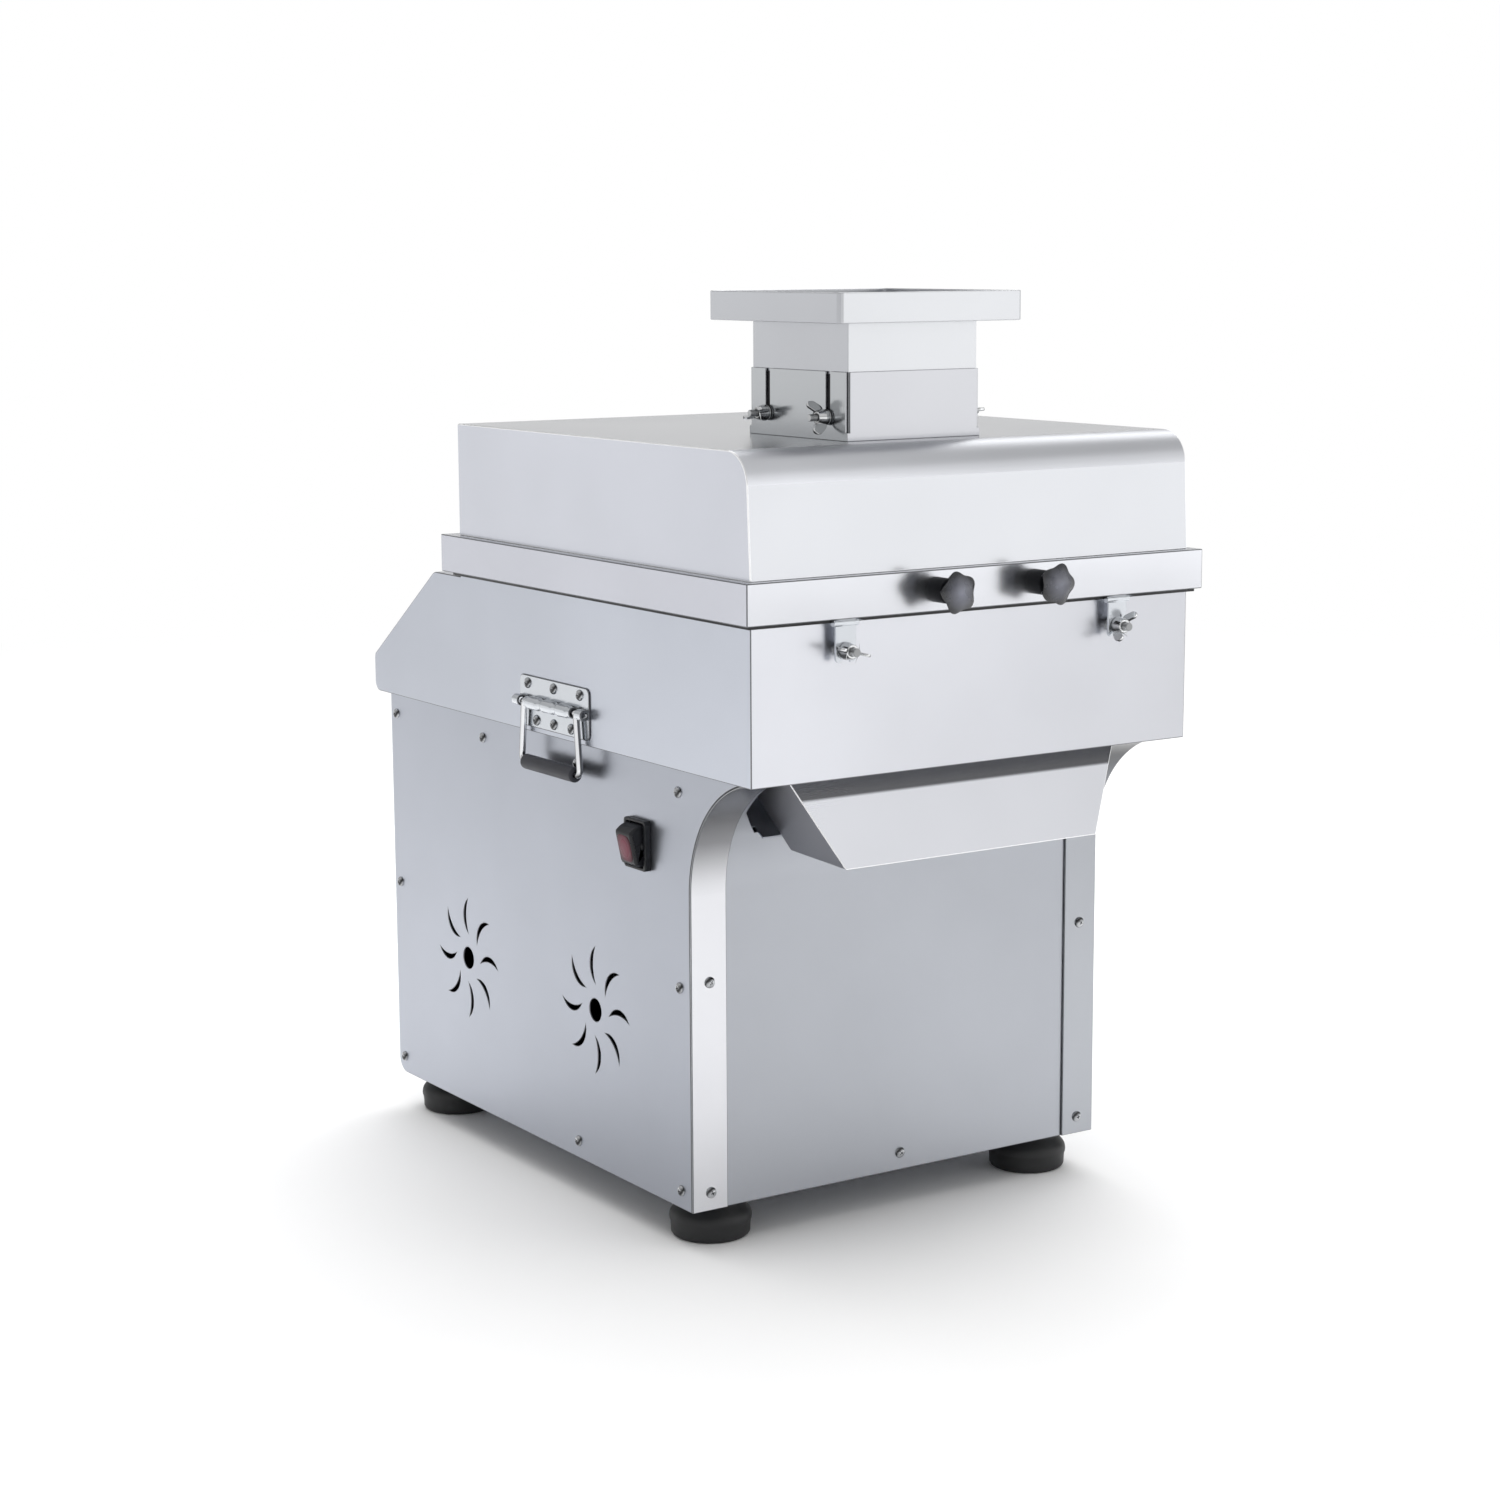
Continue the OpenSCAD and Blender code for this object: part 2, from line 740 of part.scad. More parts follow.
// Upright plate with two bearing seats and an outward foot
module bearing_plate(x, foot_side) {
    foot_w = 16;
    foot_x = foot_side < 0 ? x - foot_w : x;
    difference() {
        union() {
            along_x(x)
                linear_extrude(plate_t)
                    rounded(box_points([plate_y0, floor_z], [plate_y1, plate_top]), [0, 0, 24, 24]);
            if (foot_side < 0)
                translate([foot_x, plate_y0, floor_z]) cube([foot_w + 1, plate_y1 - plate_y0, 6]);
        }
        for (y = [front_y, rear_y])
            along_x(x - 1)
                translate([y, shaft_z]) cylinder(d = bearing_d + 2 * pin_gap, h = plate_t + 2);
    }
}

module left_bearing_plate() {
    steel() bearing_plate(plate_x0 - plate_t, -1);
}

module right_bearing_plate() {
    steel() bearing_plate(plate_x1, 1);
}

// Ball bearing with recessed shields, along +Z
module ball_bearing() {
    r0 = journal_d / 2 + pin_gap;
    r1 = bearing_d / 2;
    ring = 0.28 * (r1 - r0);
    rotate_extrude()
        polygon([
            [r0, 0], [r0 + ring, 0], [r0 + ring, 0.8], [r1 - ring, 0.8], [r1 - ring, 0], [r1, 0],
            [r1, plate_t], [r1 - ring, plate_t], [r1 - ring, plate_t - 0.8],
            [r0 + ring, plate_t - 0.8], [r0 + ring, plate_t], [r0, plate_t]
        ]);
}

module knife_bearings() {
    steel()
        for (x = [plate_x0 - plate_t, plate_x1], y = [front_y, rear_y])
            along_x(x) translate([y, shaft_z]) ball_bearing();
}

// Stripper comb on the front side of a shaft: a bar with fingers that reach in between the discs
module comb(count, offset) {
    bar_y = -(blade_d / 2 + 2.5);
    low = shaft_z - comb_h - 4;
    translate([plate_x0, 0, 0])
        along_x()
            linear_extrude(plate_gap)
                translate([bar_y - comb_bar, low]) square([comb_bar, comb_h]);
    for (i = [0 : count - 1])
        along_x(feed_x + (i - (count - 1) / 2) * blade_pitch + offset - comb_t / 2)
            linear_extrude(comb_t)
                difference() {
                    translate([bar_y - 1, low + 2])
                        square([1 - bar_y - 0.6 * spacer_d / 2, comb_h - 4]);
                    translate([0, shaft_z]) circle(spacer_d / 2 + run_gap);
                }
}

module front_comb() {
    steel() translate([0, front_y, 0]) comb(blade_count - 1, 0);
}

module rear_comb() {
    steel() translate([0, rear_y, 0]) mirror([0, 1, 0]) comb(blade_count - 2, 0);
}

module discharge_slide() {
    cos_a = cos(slide_angle);
    wide_end = (shoulder_y - slide_y) / cos_a;
    top_end = (slide_top_y - slide_y) / cos_a;
    half_lip = mouth_w / 2 - mouth_corner - 2;
    narrow0 = drop_x0 + seam;
    narrow1 = drop_x1 - seam;
    wall_h = 14;
    weld = 3;
    lap = 0.4;
    brim_z = cab_z1 - seam;
    shoulder_z = slide_z + (shoulder_y - slide_y) * tan(slide_angle) - weld;
    web_z = shoulder_z - (shoulder_y + cove_r) * tan(slide_angle);
    steel() {
        translate([0, slide_y, slide_z])
            rotate([slide_angle, 0, 0]) {
                linear_extrude(panel_t)
                    polygon([
                        [-half_lip, -slide_lip], [half_lip, -slide_lip], [half_lip, 4],
                        [slide_wide, 4], [slide_wide, wide_end], [narrow1, wide_end],
                        [narrow1, top_end], [narrow0, top_end], [narrow0, wide_end],
                        [-slide_wide, wide_end], [-slide_wide, 4], [-half_lip, 4]
                    ]);
                for (x = [narrow0 + lap, narrow1 - lap - panel_t])
                    translate([x, wide_end - panel_t, lap])
                        cube([panel_t, top_end - wide_end + panel_t - lap, wall_h]);
            }
        for (x = [[lap - slide_wide, narrow0 + panel_t], [narrow1 - panel_t, slide_wide - lap]])
            translate([x[0], shoulder_y - panel_t, shoulder_z])
                cube([x[1] - x[0], panel_t, brim_z - lap - shoulder_z]);
        for (x = [-slide_wide, slide_wide - panel_t])
            along_x(x)
                linear_extrude(panel_t)
                    difference() {
                        polygon([
                            [-cove_r, brim_z], [-cove_r, web_z],
                            [shoulder_y - lap, shoulder_z + lap], [shoulder_y - lap, brim_z]
                        ]);
                        translate([-cove_r, cove_z]) circle(inner_cove_r + seam);
                    }
    }
}

module discharge_chute() {
    z1 = cab_z1 - seam;
    z0 = z1 - chute_h;
    top_y = basin_front + chute_setback;
    low_y = top_y - chute_rake;
    back_y = low_y + chute_depth;
    back_lean = 0.28 * chute_h;
    wall_x = panel_t / cos(atan((chute_top_w - chute_low_w) / 2 / chute_h));
    lip = 9;
    steel()
        difference() {
            chute_body(chute_top_w / 2, chute_low_w / 2, [
                [low_y, z0], [back_y, z0 + 3], [back_y + back_lean, z1], [top_y, z1]
            ], z0, z1);
            chute_body(chute_top_w / 2 - wall_x, chute_low_w / 2 - wall_x, [
                [low_y + panel_t - 1, z0 - 1], [back_y + 50, z0 - 1],
                [back_y + 50, z1 - panel_t], [top_y + panel_t, z1 - panel_t],
                [low_y + panel_t + 0.1, z0]
            ], z0, z1);
            translate([lip - chute_top_w / 2, top_y + lip, z1 - 2 * panel_t])
                cube([chute_top_w - 2 * lip, chute_depth + 50, 3 * panel_t]);
        }
}

// Solid between a front trapezoid and a side outline
module chute_body(top_half, low_half, side, z0, z1) {
    lean = (top_half - low_half) / (z1 - z0);
    intersection() {
        along_front(cab_d)
            linear_extrude(2 * cab_d)
                polygon([
                    [-low_half + 2 * lean, z0 - 2], [low_half - 2 * lean, z0 - 2],
                    [top_half, z1], [-top_half, z1]
                ]);
        across(chute_top_w + 10) polygon(side);
    }
}

module clamp_studs() {
    steel()
        for (x = [-clamp_gap / 2, clamp_gap / 2])
            translate([x, basin_front, clamp_z])
                rotate([90, 0, 0]) {
                    cylinder(r = clamp_stud_d / 2 + 2.5, h = 2.5);
                    cylinder(d = clamp_stud_d, h = skirt_over + seam + 13);
                }
}

module motor_housing() {
    foot_w = 0.86 * motor_d;
    box_z = motor_core_r + 22;
    color([0.3, 0.36, 0.42])
        placed()
            difference() {
                union() {
                    along_x(-motor_half)
                        translate(driver_at)
                            linear_extrude(motor_l) {
                                circle(motor_core_r);
                                for (i = [0 : 23])
                                    rotate(i * 15 + 7.5)
                                        translate([motor_core_r - 2, -1.2]) square([8, 2.4]);
                            }
                    along_x(-motor_half - 12)
                        translate(driver_at) cylinder(r = motor_core_r, h = 14);
                    along_x(motor_half)
                        translate(driver_at)
                            cylinder(r1 = motor_core_r, r2 = 0.6 * motor_core_r, h = 10);
                    translate([-60, motor_y - foot_w / 2, rail_z1]) cube([120, foot_w, 7]);
                    translate([-60, motor_y - foot_w / 3, rail_z1]) cube([120, foot_w / 1.5, 0.3 * motor_d]);
                    translate([-45, motor_y - 32, motor_z]) cube([90, 64, box_z]);
                    translate([-48, motor_y - 35, motor_z + box_z - 1]) cube([96, 70, 7]);
                }
                along_x(motor_half - 40)
                    translate(driver_at) cylinder(d = motor_shaft_d + 2 * pin_gap, h = 60);
            }
}

module motor_fan_cover() {
    r = motor_core_r + seam + 1.5;
    x0 = -motor_half - 40;
    color([0.25, 0.3, 0.36])
        placed()
            along_x(x0)
                translate(driver_at)
                    difference() {
                        cylinder(r = r, h = 40 - seam);
                        translate([0, 0, 1.5]) cylinder(r = r - 1.5, h = 40);
                        for (ring = [1 : 4])
                            translate([0, 0, -1])
                                for (quarter = [0 : 3])
                                    rotate(quarter * 90)
                                        intersection() {
                                            difference() {
                                                cylinder(r = 10 + 10 * ring + 5, h = 4);
                                                translate([0, 0, -1]) cylinder(r = 10 + 10 * ring, h = 6);
                                            }
                                            translate([4, 4, -1]) cube([r, r, 6]);
                                        }
                    }
}

module motor_rails() {
    color([0.35, 0.35, 0.37])
        placed()
            for (x = [-45, 45])
                translate([x - 18, motor_y - 95, rail_z0])
                    difference() {
                        cube([36, 190, rail_z1 - rail_z0]);
                        translate([3, -1, -1]) cube([30, 192, rail_z1 - rail_z0 - 2]);
                    }
}

belt_section = [
    [0, -belt_low_w / 2], [belt_h, -belt_w / 2], [belt_h, belt_w / 2], [0, belt_low_w / 2]
];

module belt_straight(start, normal_angle) {
    overlap = 0.1;
    translate(start)
        rotate(normal_angle - 90)
            translate([-overlap, 0])
                rotate([90, 0, 90]) linear_extrude(belt_run + 2 * overlap) polygon(belt_section);
}

module belt_bend(centre, r, from, sweep) {
    translate(centre)
        rotate(from)
            rotate_extrude(angle = sweep)
                translate([r, 0]) polygon(belt_section);
}

module drive_belt() {
    upper = belt_line + belt_wrap;
    lower = belt_line - belt_wrap;
    color([0.12, 0.12, 0.12])
        placed()
            along_x(belt_x) {
                belt_straight(driven_at + polar(driven_r, upper), upper);
                belt_straight(driver_at + polar(driver_r, lower), lower);
                belt_bend(driven_at, driven_r, upper, 360 - 2 * belt_wrap);
                belt_bend(driver_at, driver_r, lower, 2 * belt_wrap);
            }
}

// V-groove pulley on +Z, centred on its groove
module pulley(r, bore) {
    rim = r + pulley_over;
    low = r - run_gap;
    flank = (belt_w - belt_low_w) / 2 / belt_h;
    low_half = belt_low_w / 2 + run_gap - flank * run_gap;
    rim_half = belt_low_w / 2 + run_gap + flank * pulley_over;
    rotate_extrude()
        polygon([
            [bore, -pulley_w / 2], [rim, -pulley_w / 2], [rim, -rim_half], [low, -low_half],
            [low, low_half], [rim, rim_half], [rim, pulley_w / 2], [bore, pulley_w / 2]
        ]);
}

module driven_pulley() {
    holes = 5;
    web_r = (journal_d / 2 + driven_r) / 2;
    color([0.4, 0.42, 0.44])
        placed()
            along_x(belt_x)
                translate(driven_at)
                    difference() {
                        pulley(driven_r, gear_bore);
                        for (i = [0 : holes - 1])
                            rotate(i * 360 / holes)
                                translate([web_r, 0, -pulley_w])
                                    cylinder(r = 0.2 * driven_r, h = 2 * pulley_w);
                    }
}

module motor_pulley() {
    color([0.4, 0.42, 0.44])
        placed()
            along_x(belt_x) translate(driver_at) pulley(driver_r, motor_shaft_d / 2 + pin_gap);
}

module motor_shaft() {
    x0 = motor_half - 38;
    steel()
        along_x(x0)
            translate(driver_at) cylinder(d = motor_shaft_d, h = belt_x + pulley_w / 2 + 3 - x0);
}

module switch_frame() {
    behind = 12;
    dark()
        translate([-half_cab, switch_y, switch_z])
            rotate([0, -90, 0])
                rotate([0, 0, -90])
                    difference() {
                        union() {
                            linear_extrude(frame_t)
                                rounded_box([-switch_w / 2, -switch_h / 2], [switch_w / 2, switch_h / 2], 3);
                            translate([0, 0, -behind])
                                linear_extrude(behind + 1)
                                    square([window_w + 3, window_h + 3], center = true);
                        }
                        translate([0, 0, 2 - behind])
                            linear_extrude(frame_t + behind) square([window_w, window_h], center = true);
                        translate([0, 0, pivot_out])
                            rotate([0, 90, 0]) cylinder(r = pivot_r, h = window_w + 3, center = true);
                    }
}

// Rocker pressed at its lower end: round flanks about the pivot and a flat lens face
module switch_rocker() {
    color([0.45, 0.08, 0.1])
        placed()
            translate([-half_cab - pivot_out, switch_y, switch_z])
                rotate([90, 0, 0]) {
                    linear_extrude(window_w - 2 * run_gap, center = true)
                        rotate(rocker_tilt)
                            intersection() {
                                circle(rocker_r);
                                translate([-rocker_face, -rocker_r])
                                    square([rocker_face + rocker_back, 2 * rocker_r]);
                            }
                    cylinder(r = pivot_r - pin_gap, h = window_w + 2, center = true);
                }
}

// Rolled barrel of a handle plate, with three pressed swells between the bail's legs
module barrel() {
    step = bail_w / 3.5;
    swell = 0.9;
    rotate_extrude()
        polygon(concat(
            [[0, -handle_w / 2], [barrel_r, -handle_w / 2]],
            [
                for (i = [-1 : 1], p = [[-0.42, 0], [-0.28, swell], [0.28, swell], [0.42, 0]])
                    [barrel_r + p[1], (i + p[0]) * step]
            ],
            [[barrel_r, handle_w / 2], [0, handle_w / 2]]
        ));
}

// Handle plate on the +X side, with the rolled barrel that holds the bail
module handle_plate() {
    low = [handle_y - handle_w / 2, handle_z0];
    high = [handle_y + handle_w / 2, handle_z0 + handle_h];
    difference() {
        union() {
            along_x(half_basin) linear_extrude(handle_t) rounded_box(low, high, 5);
            translate([bail_x, handle_y, bail_z]) rotate([-90, 0, 0]) barrel();
            translate([half_basin, low[0], bail_z - 0.8 * barrel_r])
                cube([bail_out, handle_w, 1.6 * barrel_r]);
        }
        translate([half_basin - barrel_r, low[0] - 1, low[1] - 1]) cube([barrel_r, handle_w + 2, handle_h + 2]);
        translate([bail_x, low[0] - 1, bail_z])
            rotate([-90, 0, 0]) cylinder(r = bail_d / 2 + pin_gap, h = handle_w + 2);
        for (side = [-1, 1])
            translate([half_basin + handle_t, handle_y + side * bail_w / 2 - slot_w / 2, bail_z - 9])
                cube([3 * barrel_r, slot_w, 18]);
        for (at = handle_screws)
            translate([half_basin - 1, at[0], at[1]])
                rotate([0, 90, 0]) cylinder(r = screw_r + pin_gap, h = handle_t + 2);
    }
}

module right_handle_plate() {
    steel() handle_plate();
}

module left_handle_plate() {
    steel() mirror([1, 0, 0]) handle_plate();
}

// Bail on the +X side, hanging: pivot rod, two leaning legs, bends and the rod inside the grip
module handle_bail() {
    r = bail_d / 2;
    thin = 0.92 * r;
    into = 1.5;
    leg = bail_drop / cos(bail_lean) - bail_bend_r * tan(45 + bail_lean / 2);
    translate([bail_x, handle_y, bail_z]) {
        rotate([90, 0, 0]) cylinder(r = r, h = bail_w + 1.6 * r, center = true);
        translate([0, 0, -bail_drop])
            rotate([90, 0, 0]) cylinder(r = thin, h = 2 * (bail_rod + into), center = true);
        for (side = [0, 1])
            mirror([0, side, 0]) {
                translate([0, bail_w / 2, 0]) rotate([180 + bail_lean, 0, 0]) cylinder(r = thin, h = leg + into);
                along_x()
                    translate([bail_rod, bail_bend_r - bail_drop])
                        rotate(-90)
                            rotate_extrude(angle = 90 + bail_lean) translate([bail_bend_r, 0]) circle(r);
            }
    }
}

module right_handle_bail() {
    steel() handle_bail();
}

module left_handle_bail() {
    steel() mirror([1, 0, 0]) handle_bail();
}

// Grip tube on the +X side
module handle_grip() {
    w = 2 * (bail_rod - run_gap);
    r = grip_d / 2;
    translate([bail_x, handle_y, bail_z - bail_drop])
        rotate([90, 0, 0])
            rotate_extrude()
                polygon([
                    [bail_d / 2 + pin_gap, -w / 2], [r - 1, -w / 2], [r, 1.5 - w / 2], [r, w / 2 - 1.5],
                    [r - 1, w / 2], [bail_d / 2 + pin_gap, w / 2]
                ]);
}

module right_handle_grip() {
    dark() handle_grip();
}

module left_handle_grip() {
    dark() mirror([1, 0, 0]) handle_grip();
}

// Stepped knife shaft with its length on the drive side
module knife_shaft(y, drive_end) {
    collar_gap_x = 0.8;
    along_x()
        translate([y, shaft_z]) {
            translate([0, 0, plate_x0 - plate_t - 2])
                cylinder(d = journal_d, h = drive_end - plate_x0 + plate_t + 2);
            translate([0, 0, plate_x0 + collar_gap_x])
                cylinder(d = shaft_d, h = plate_gap - 2 * collar_gap_x);
        }
}

module front_knife_shaft() {
    steel() knife_shaft(front_y, gear_x + gear_w + gear_hub + 3);
}

module rear_knife_shaft() {
    steel() knife_shaft(rear_y, belt_x + pulley_w / 2 + 3);
}

// Knife discs with a ground edge
module blade_row(y, count) {
    r = blade_d / 2;
    edge = 5;
    for (i = [0 : count - 1])
        along_x(feed_x + (i - (count - 1) / 2) * blade_pitch)
            translate([y, shaft_z])
                rotate_extrude()
                    polygon([
                        [shaft_d / 2 + pin_gap, -blade_t / 2], [r - edge, -blade_t / 2], [r, -0.15],
                        [r, 0.15], [r - edge, blade_t / 2], [shaft_d / 2 + pin_gap, blade_t / 2]
                    ]);
}

// Spacer rings between the discs
module spacer_row(y, count) {
    for (i = [0 : count - 2])
        along_x(feed_x + (i - (count - 2) / 2) * blade_pitch)
            translate([y, shaft_z])
                difference() {
                    cylinder(d = spacer_d, h = blade_pitch - blade_t, center = true);
                    cylinder(d = shaft_d + 2 * pin_gap, h = blade_pitch, center = true);
                }
}

module front_blades() {
    steel() blade_row(front_y, blade_count);
}

module front_spacers() {
    steel() spacer_row(front_y, blade_count);
}

module rear_blades() {
    steel() blade_row(rear_y, blade_count - 1);
}

module rear_spacers() {
    steel() spacer_row(rear_y, blade_count - 1);
}

// Outline of an involute spur gear with a tooth on the first axis
module gear_outline() {
    pitch_r = shaft_gap / 2;
    base_r = pitch_r * cos(20);
    tip_r = pitch_r + 0.95 * gear_module;
    root_r = pitch_r - 1.2 * gear_module;
    backlash = 0.25 / pitch_r * 180 / PI;
    half_tooth = 90 / gear_teeth - backlash + involute_angle(base_r, pitch_r);
    steps = 4;
    flank = [for (i = [0 : steps]) let (r = base_r + (tip_r - base_r) * i / steps)
        [r, half_tooth - involute_angle(base_r, r)]];
    polygon([
        for (tooth = [0 : gear_teeth - 1])
            let (turn = tooth * 360 / gear_teeth)
            each concat(
                [polar(root_r, turn - half_tooth)],
                [for (p = flank) polar(p[0], turn - p[1])],
                [for (i = [steps : -1 : 0]) polar(flank[i][0], turn + flank[i][1])],
                [polar(root_r, turn + half_tooth)]
            )
    ]);
}

module knife_gear(y, turn) {
    along_x(gear_x)
        translate([y, shaft_z])
            difference() {
                union() {
                    linear_extrude(gear_w) rotate(turn) gear_outline();
                    translate([0, 0, gear_w - 1]) cylinder(d = journal_d + 14, h = gear_hub + 1);
                }
                translate([0, 0, -1]) cylinder(r = gear_bore, h = gear_w + gear_hub + 2);
            }
}

module front_gear() {
    color([0.45, 0.45, 0.47]) placed() knife_gear(front_y, 0);
}

module rear_gear() {
    color([0.45, 0.45, 0.47]) placed() knife_gear(rear_y, 180 / gear_teeth + 180);
}

module hood_cover() {
    outline = [
        [basin_front, skirt_z1], [hood_back, skirt_z1], [hood_back, hood_z1],
        [basin_front + hood_lean, hood_z1]
    ];
    steel()
        difference() {
            shell(outline, [0, 0, 0, hood_bend_r], basin_w, shell_t);
            translate([shell_t - half_basin, basin_front + shell_t, skirt_z1 - 1])
                cube([basin_w - 2 * shell_t, hood_d - 2 * shell_t, shell_t + 2]);
            duct_hole(tube_w + 2 * collar_gap, tube_d + 2 * collar_gap, hood_z1 - 2 * shell_t);
        }
}

// Rectangular hole around the feed tube
module duct_hole(w, d, z0) {
    translate([feed_x - w / 2, feed_y - d / 2, z0]) cube([w, d, 4 * shell_t]);
}

module hood_skirt() {
    ledge = 9;
    steel()
        difference() {
            union() {
                difference() {
                    translate([-half_skirt, skirt_front, skirt_z0])
                        cube([2 * half_skirt, skirt_back - skirt_front, skirt_h]);
                    translate([shell_t - half_skirt, skirt_front + shell_t, skirt_z0 - 1])
                        cube([
                            2 * (half_skirt - shell_t), skirt_back - skirt_front - 2 * shell_t,
                            skirt_h - shell_t + 1
                        ]);
                    translate([ledge - half_basin, basin_front + ledge, skirt_z0])
                        cube([basin_w - 2 * ledge, hood_d - 2 * ledge, skirt_h + 1]);
                }
                for (x = [-knob_gap / 2, knob_gap / 2])
                    translate([x, skirt_front + 0.5, knob_z])
                        rotate([-90, 0, 0]) cylinder(r = knob_screw_d / 2 + 3, h = skirt_over - 2);
            }
            for (x = [-knob_gap / 2, knob_gap / 2])
                translate([x, skirt_front - 1, knob_z])
                    rotate([-90, 0, 0]) cylinder(d = knob_screw_d + 2 * pin_gap, h = skirt_over + 1);
        }
}

module feed_collar() {
    slot_r = feed_stud_d / 2 + seam;
    steel()
        difference() {
            duct(collar_w, collar_d, tube_t, hood_z1, hood_z1 + collar_h);
            for (side = [-1, 1], y = feed_stud_ys) {
                translate([feed_x + side * collar_w / 2, y, stud_z])
                    rotate([0, 90, 0]) cylinder(r = slot_r, h = 4 * tube_t, center = true);
                translate([feed_x + side * collar_w / 2 - 2 * tube_t, y - slot_r, stud_z])
                    cube([4 * tube_t, 2 * slot_r, collar_h]);
            }
            for (x = [-1, 1], y = [-1, 1])
                translate([
                    feed_x + x * collar_w / 2 - collar_slit, feed_y + y * collar_d / 2 - collar_slit,
                    hood_z1 + 6
                ])
                    cube([2 * collar_slit, 2 * collar_slit, collar_h]);
        }
}

module hasp_tabs() {
    slot_r = clamp_stud_d / 2 + run_gap;
    low = clamp_z - 8;
    knuckle_r = 2.4;
    steel()
        for (x = [-clamp_gap / 2, clamp_gap / 2])
            translate([x, skirt_front, 0])
                difference() {
                    union() {
                        rotate([90, 0, 0])
                            translate([0, 0, -tab_t])
                                linear_extrude(tab_t)
                                    rounded(
                                        box_points([-tab_w / 2, low], [tab_w / 2, skirt_z0]), [3, 3, 0, 0]
                                    );
                        translate([-tab_w / 2 - 2, tab_t / 2, skirt_z0 - knuckle_r])
                            rotate([0, 90, 0]) cylinder(r = knuckle_r, h = tab_w + 4);
                    }
                    translate([0, -1, clamp_z]) rotate([-90, 0, 0]) cylinder(r = slot_r, h = tab_t + 2);
                    translate([-slot_r, -1, low - 1]) cube([2 * slot_r, tab_t + 2, clamp_z - low + 1]);
                }
}

// Five-lobed head and screw, along +Z from the skirt's face
module star_knob() {
    r = knob_d / 2;
    tip = 0.3 * r;
    head = 13;
    hub = 5;
    crown_r = 3 * r;
    translate([0, 0, seam - skirt_over]) cylinder(d = knob_screw_d, h = knob_out - 4);
    translate([0, 0, hub]) cylinder(r1 = 0.5 * r, r2 = 0.62 * r, h = knob_out - head - hub + 1);
    translate([0, 0, knob_out - head])
        intersection() {
            linear_extrude(head)
                difference() {
                    union() {
                        circle(0.8 * r);
                        for (i = [0 : 4]) rotate(90 + i * 72) translate([r - tip, 0]) circle(tip);
                    }
                    for (i = [0 : 4]) rotate(54 + i * 72) translate([1.22 * r, 0]) circle(0.44 * r);
                }
            translate([0, 0, head - crown_r]) sphere(crown_r);
        }
}

module left_star_knob() {
    dark() translate([-knob_gap / 2, skirt_front, knob_z]) rotate([90, 0, 0]) star_knob();
}

module right_star_knob() {
    dark() translate([knob_gap / 2, skirt_front, knob_z]) rotate([90, 0, 0]) star_knob();
}

module feed_tube() {
    steel() duct(tube_w, tube_d, tube_t, tube_z0, tube_z1);
}

module hopper_tray() {
    half = [tray_w / 2, tray_d / 2];
    inside = half - [tube_t, tube_t];
    steel()
        difference() {
            translate([feed_x, feed_y, tube_z1])
                linear_extrude(tray_h) rounded_box(-half, half, tray_corner);
            translate([feed_x, feed_y, tube_z1 + tube_t])
                linear_extrude(tray_h) rounded_box(-inside, inside, tray_corner - tube_t);
            duct_hole(tube_w - 2 * tube_t, tube_d - 2 * tube_t, tube_z1 - 1);
        }
}

module feed_studs() {
    steel()
        for (side = [-1, 1], y = feed_stud_ys)
            translate([feed_x, y, stud_z])
                rotate([0, side * 90, 0]) {
                    translate([0, 0, tube_w / 2]) cylinder(d = feed_stud_d, h = feed_stud_out - tube_w / 2);
                    translate([0, 0, washer_out])
                        difference() {
                            cylinder(d = feed_stud_d + 6, h = washer_t);
                            translate([0, 0, -1])
                                cylinder(d = feed_stud_d + 2 * pin_gap, h = washer_t + 2);
                        }
                }
}

// Feed wing nut on one side of the tube, with its wings at a given turn
module feed_nut(side, y, turn) {
    steel()
        translate([feed_x + side * nut_out, y, stud_z])
            rotate([0, side * 90, 0]) rotate(turn) wing_nut(feed_stud_d);
}

module left_front_feed_nut() {
    feed_nut(-1, feed_stud_ys[0], 25);
}

module left_rear_feed_nut() {
    feed_nut(-1, feed_stud_ys[1], 110);
}

module right_front_feed_nut() {
    feed_nut(1, feed_stud_ys[0], 80);
}

module right_rear_feed_nut() {
    feed_nut(1, feed_stud_ys[1], 20);
}

module clamp_nut(x, turn) {
    steel()
        translate([x, clamp_nut_y, clamp_z]) rotate([90, 0, 0]) rotate(turn) wing_nut(clamp_stud_d);
}

module left_clamp_nut() {
    clamp_nut(-clamp_gap / 2, -15);
}

module right_clamp_nut() {
    clamp_nut(clamp_gap / 2, 50);
}

base_pan();
rubber_feet();
left_side_panel();
right_side_panel();
rear_panel();
front_panel();
left_corner_strip();
right_corner_strip();
panel_screws();
cable_gland();
basin();
gear_bulkhead();
left_bearing_plate();
right_bearing_plate();
knife_bearings();
front_comb();
rear_comb();
discharge_slide();
discharge_chute();
clamp_studs();
motor_housing();
motor_fan_cover();
motor_rails();
drive_belt();
switch_frame();
switch_rocker();
left_handle_plate();
right_handle_plate();
left_handle_bail();
right_handle_bail();
left_handle_grip();
right_handle_grip();
front_knife_shaft();
front_blades();
front_spacers();
front_gear();
rear_knife_shaft();
rear_blades();
rear_spacers();
rear_gear();
driven_pulley();
motor_shaft();
motor_pulley();
hood_cover();
hood_skirt();
feed_collar();
hasp_tabs();
left_star_knob();
right_star_knob();
feed_tube();
hopper_tray();
feed_studs();
left_front_feed_nut();
left_rear_feed_nut();
right_front_feed_nut();
right_rear_feed_nut();
left_clamp_nut();
right_clamp_nut();
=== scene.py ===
import json
import math
import bpy
from mathutils import Matrix, Vector


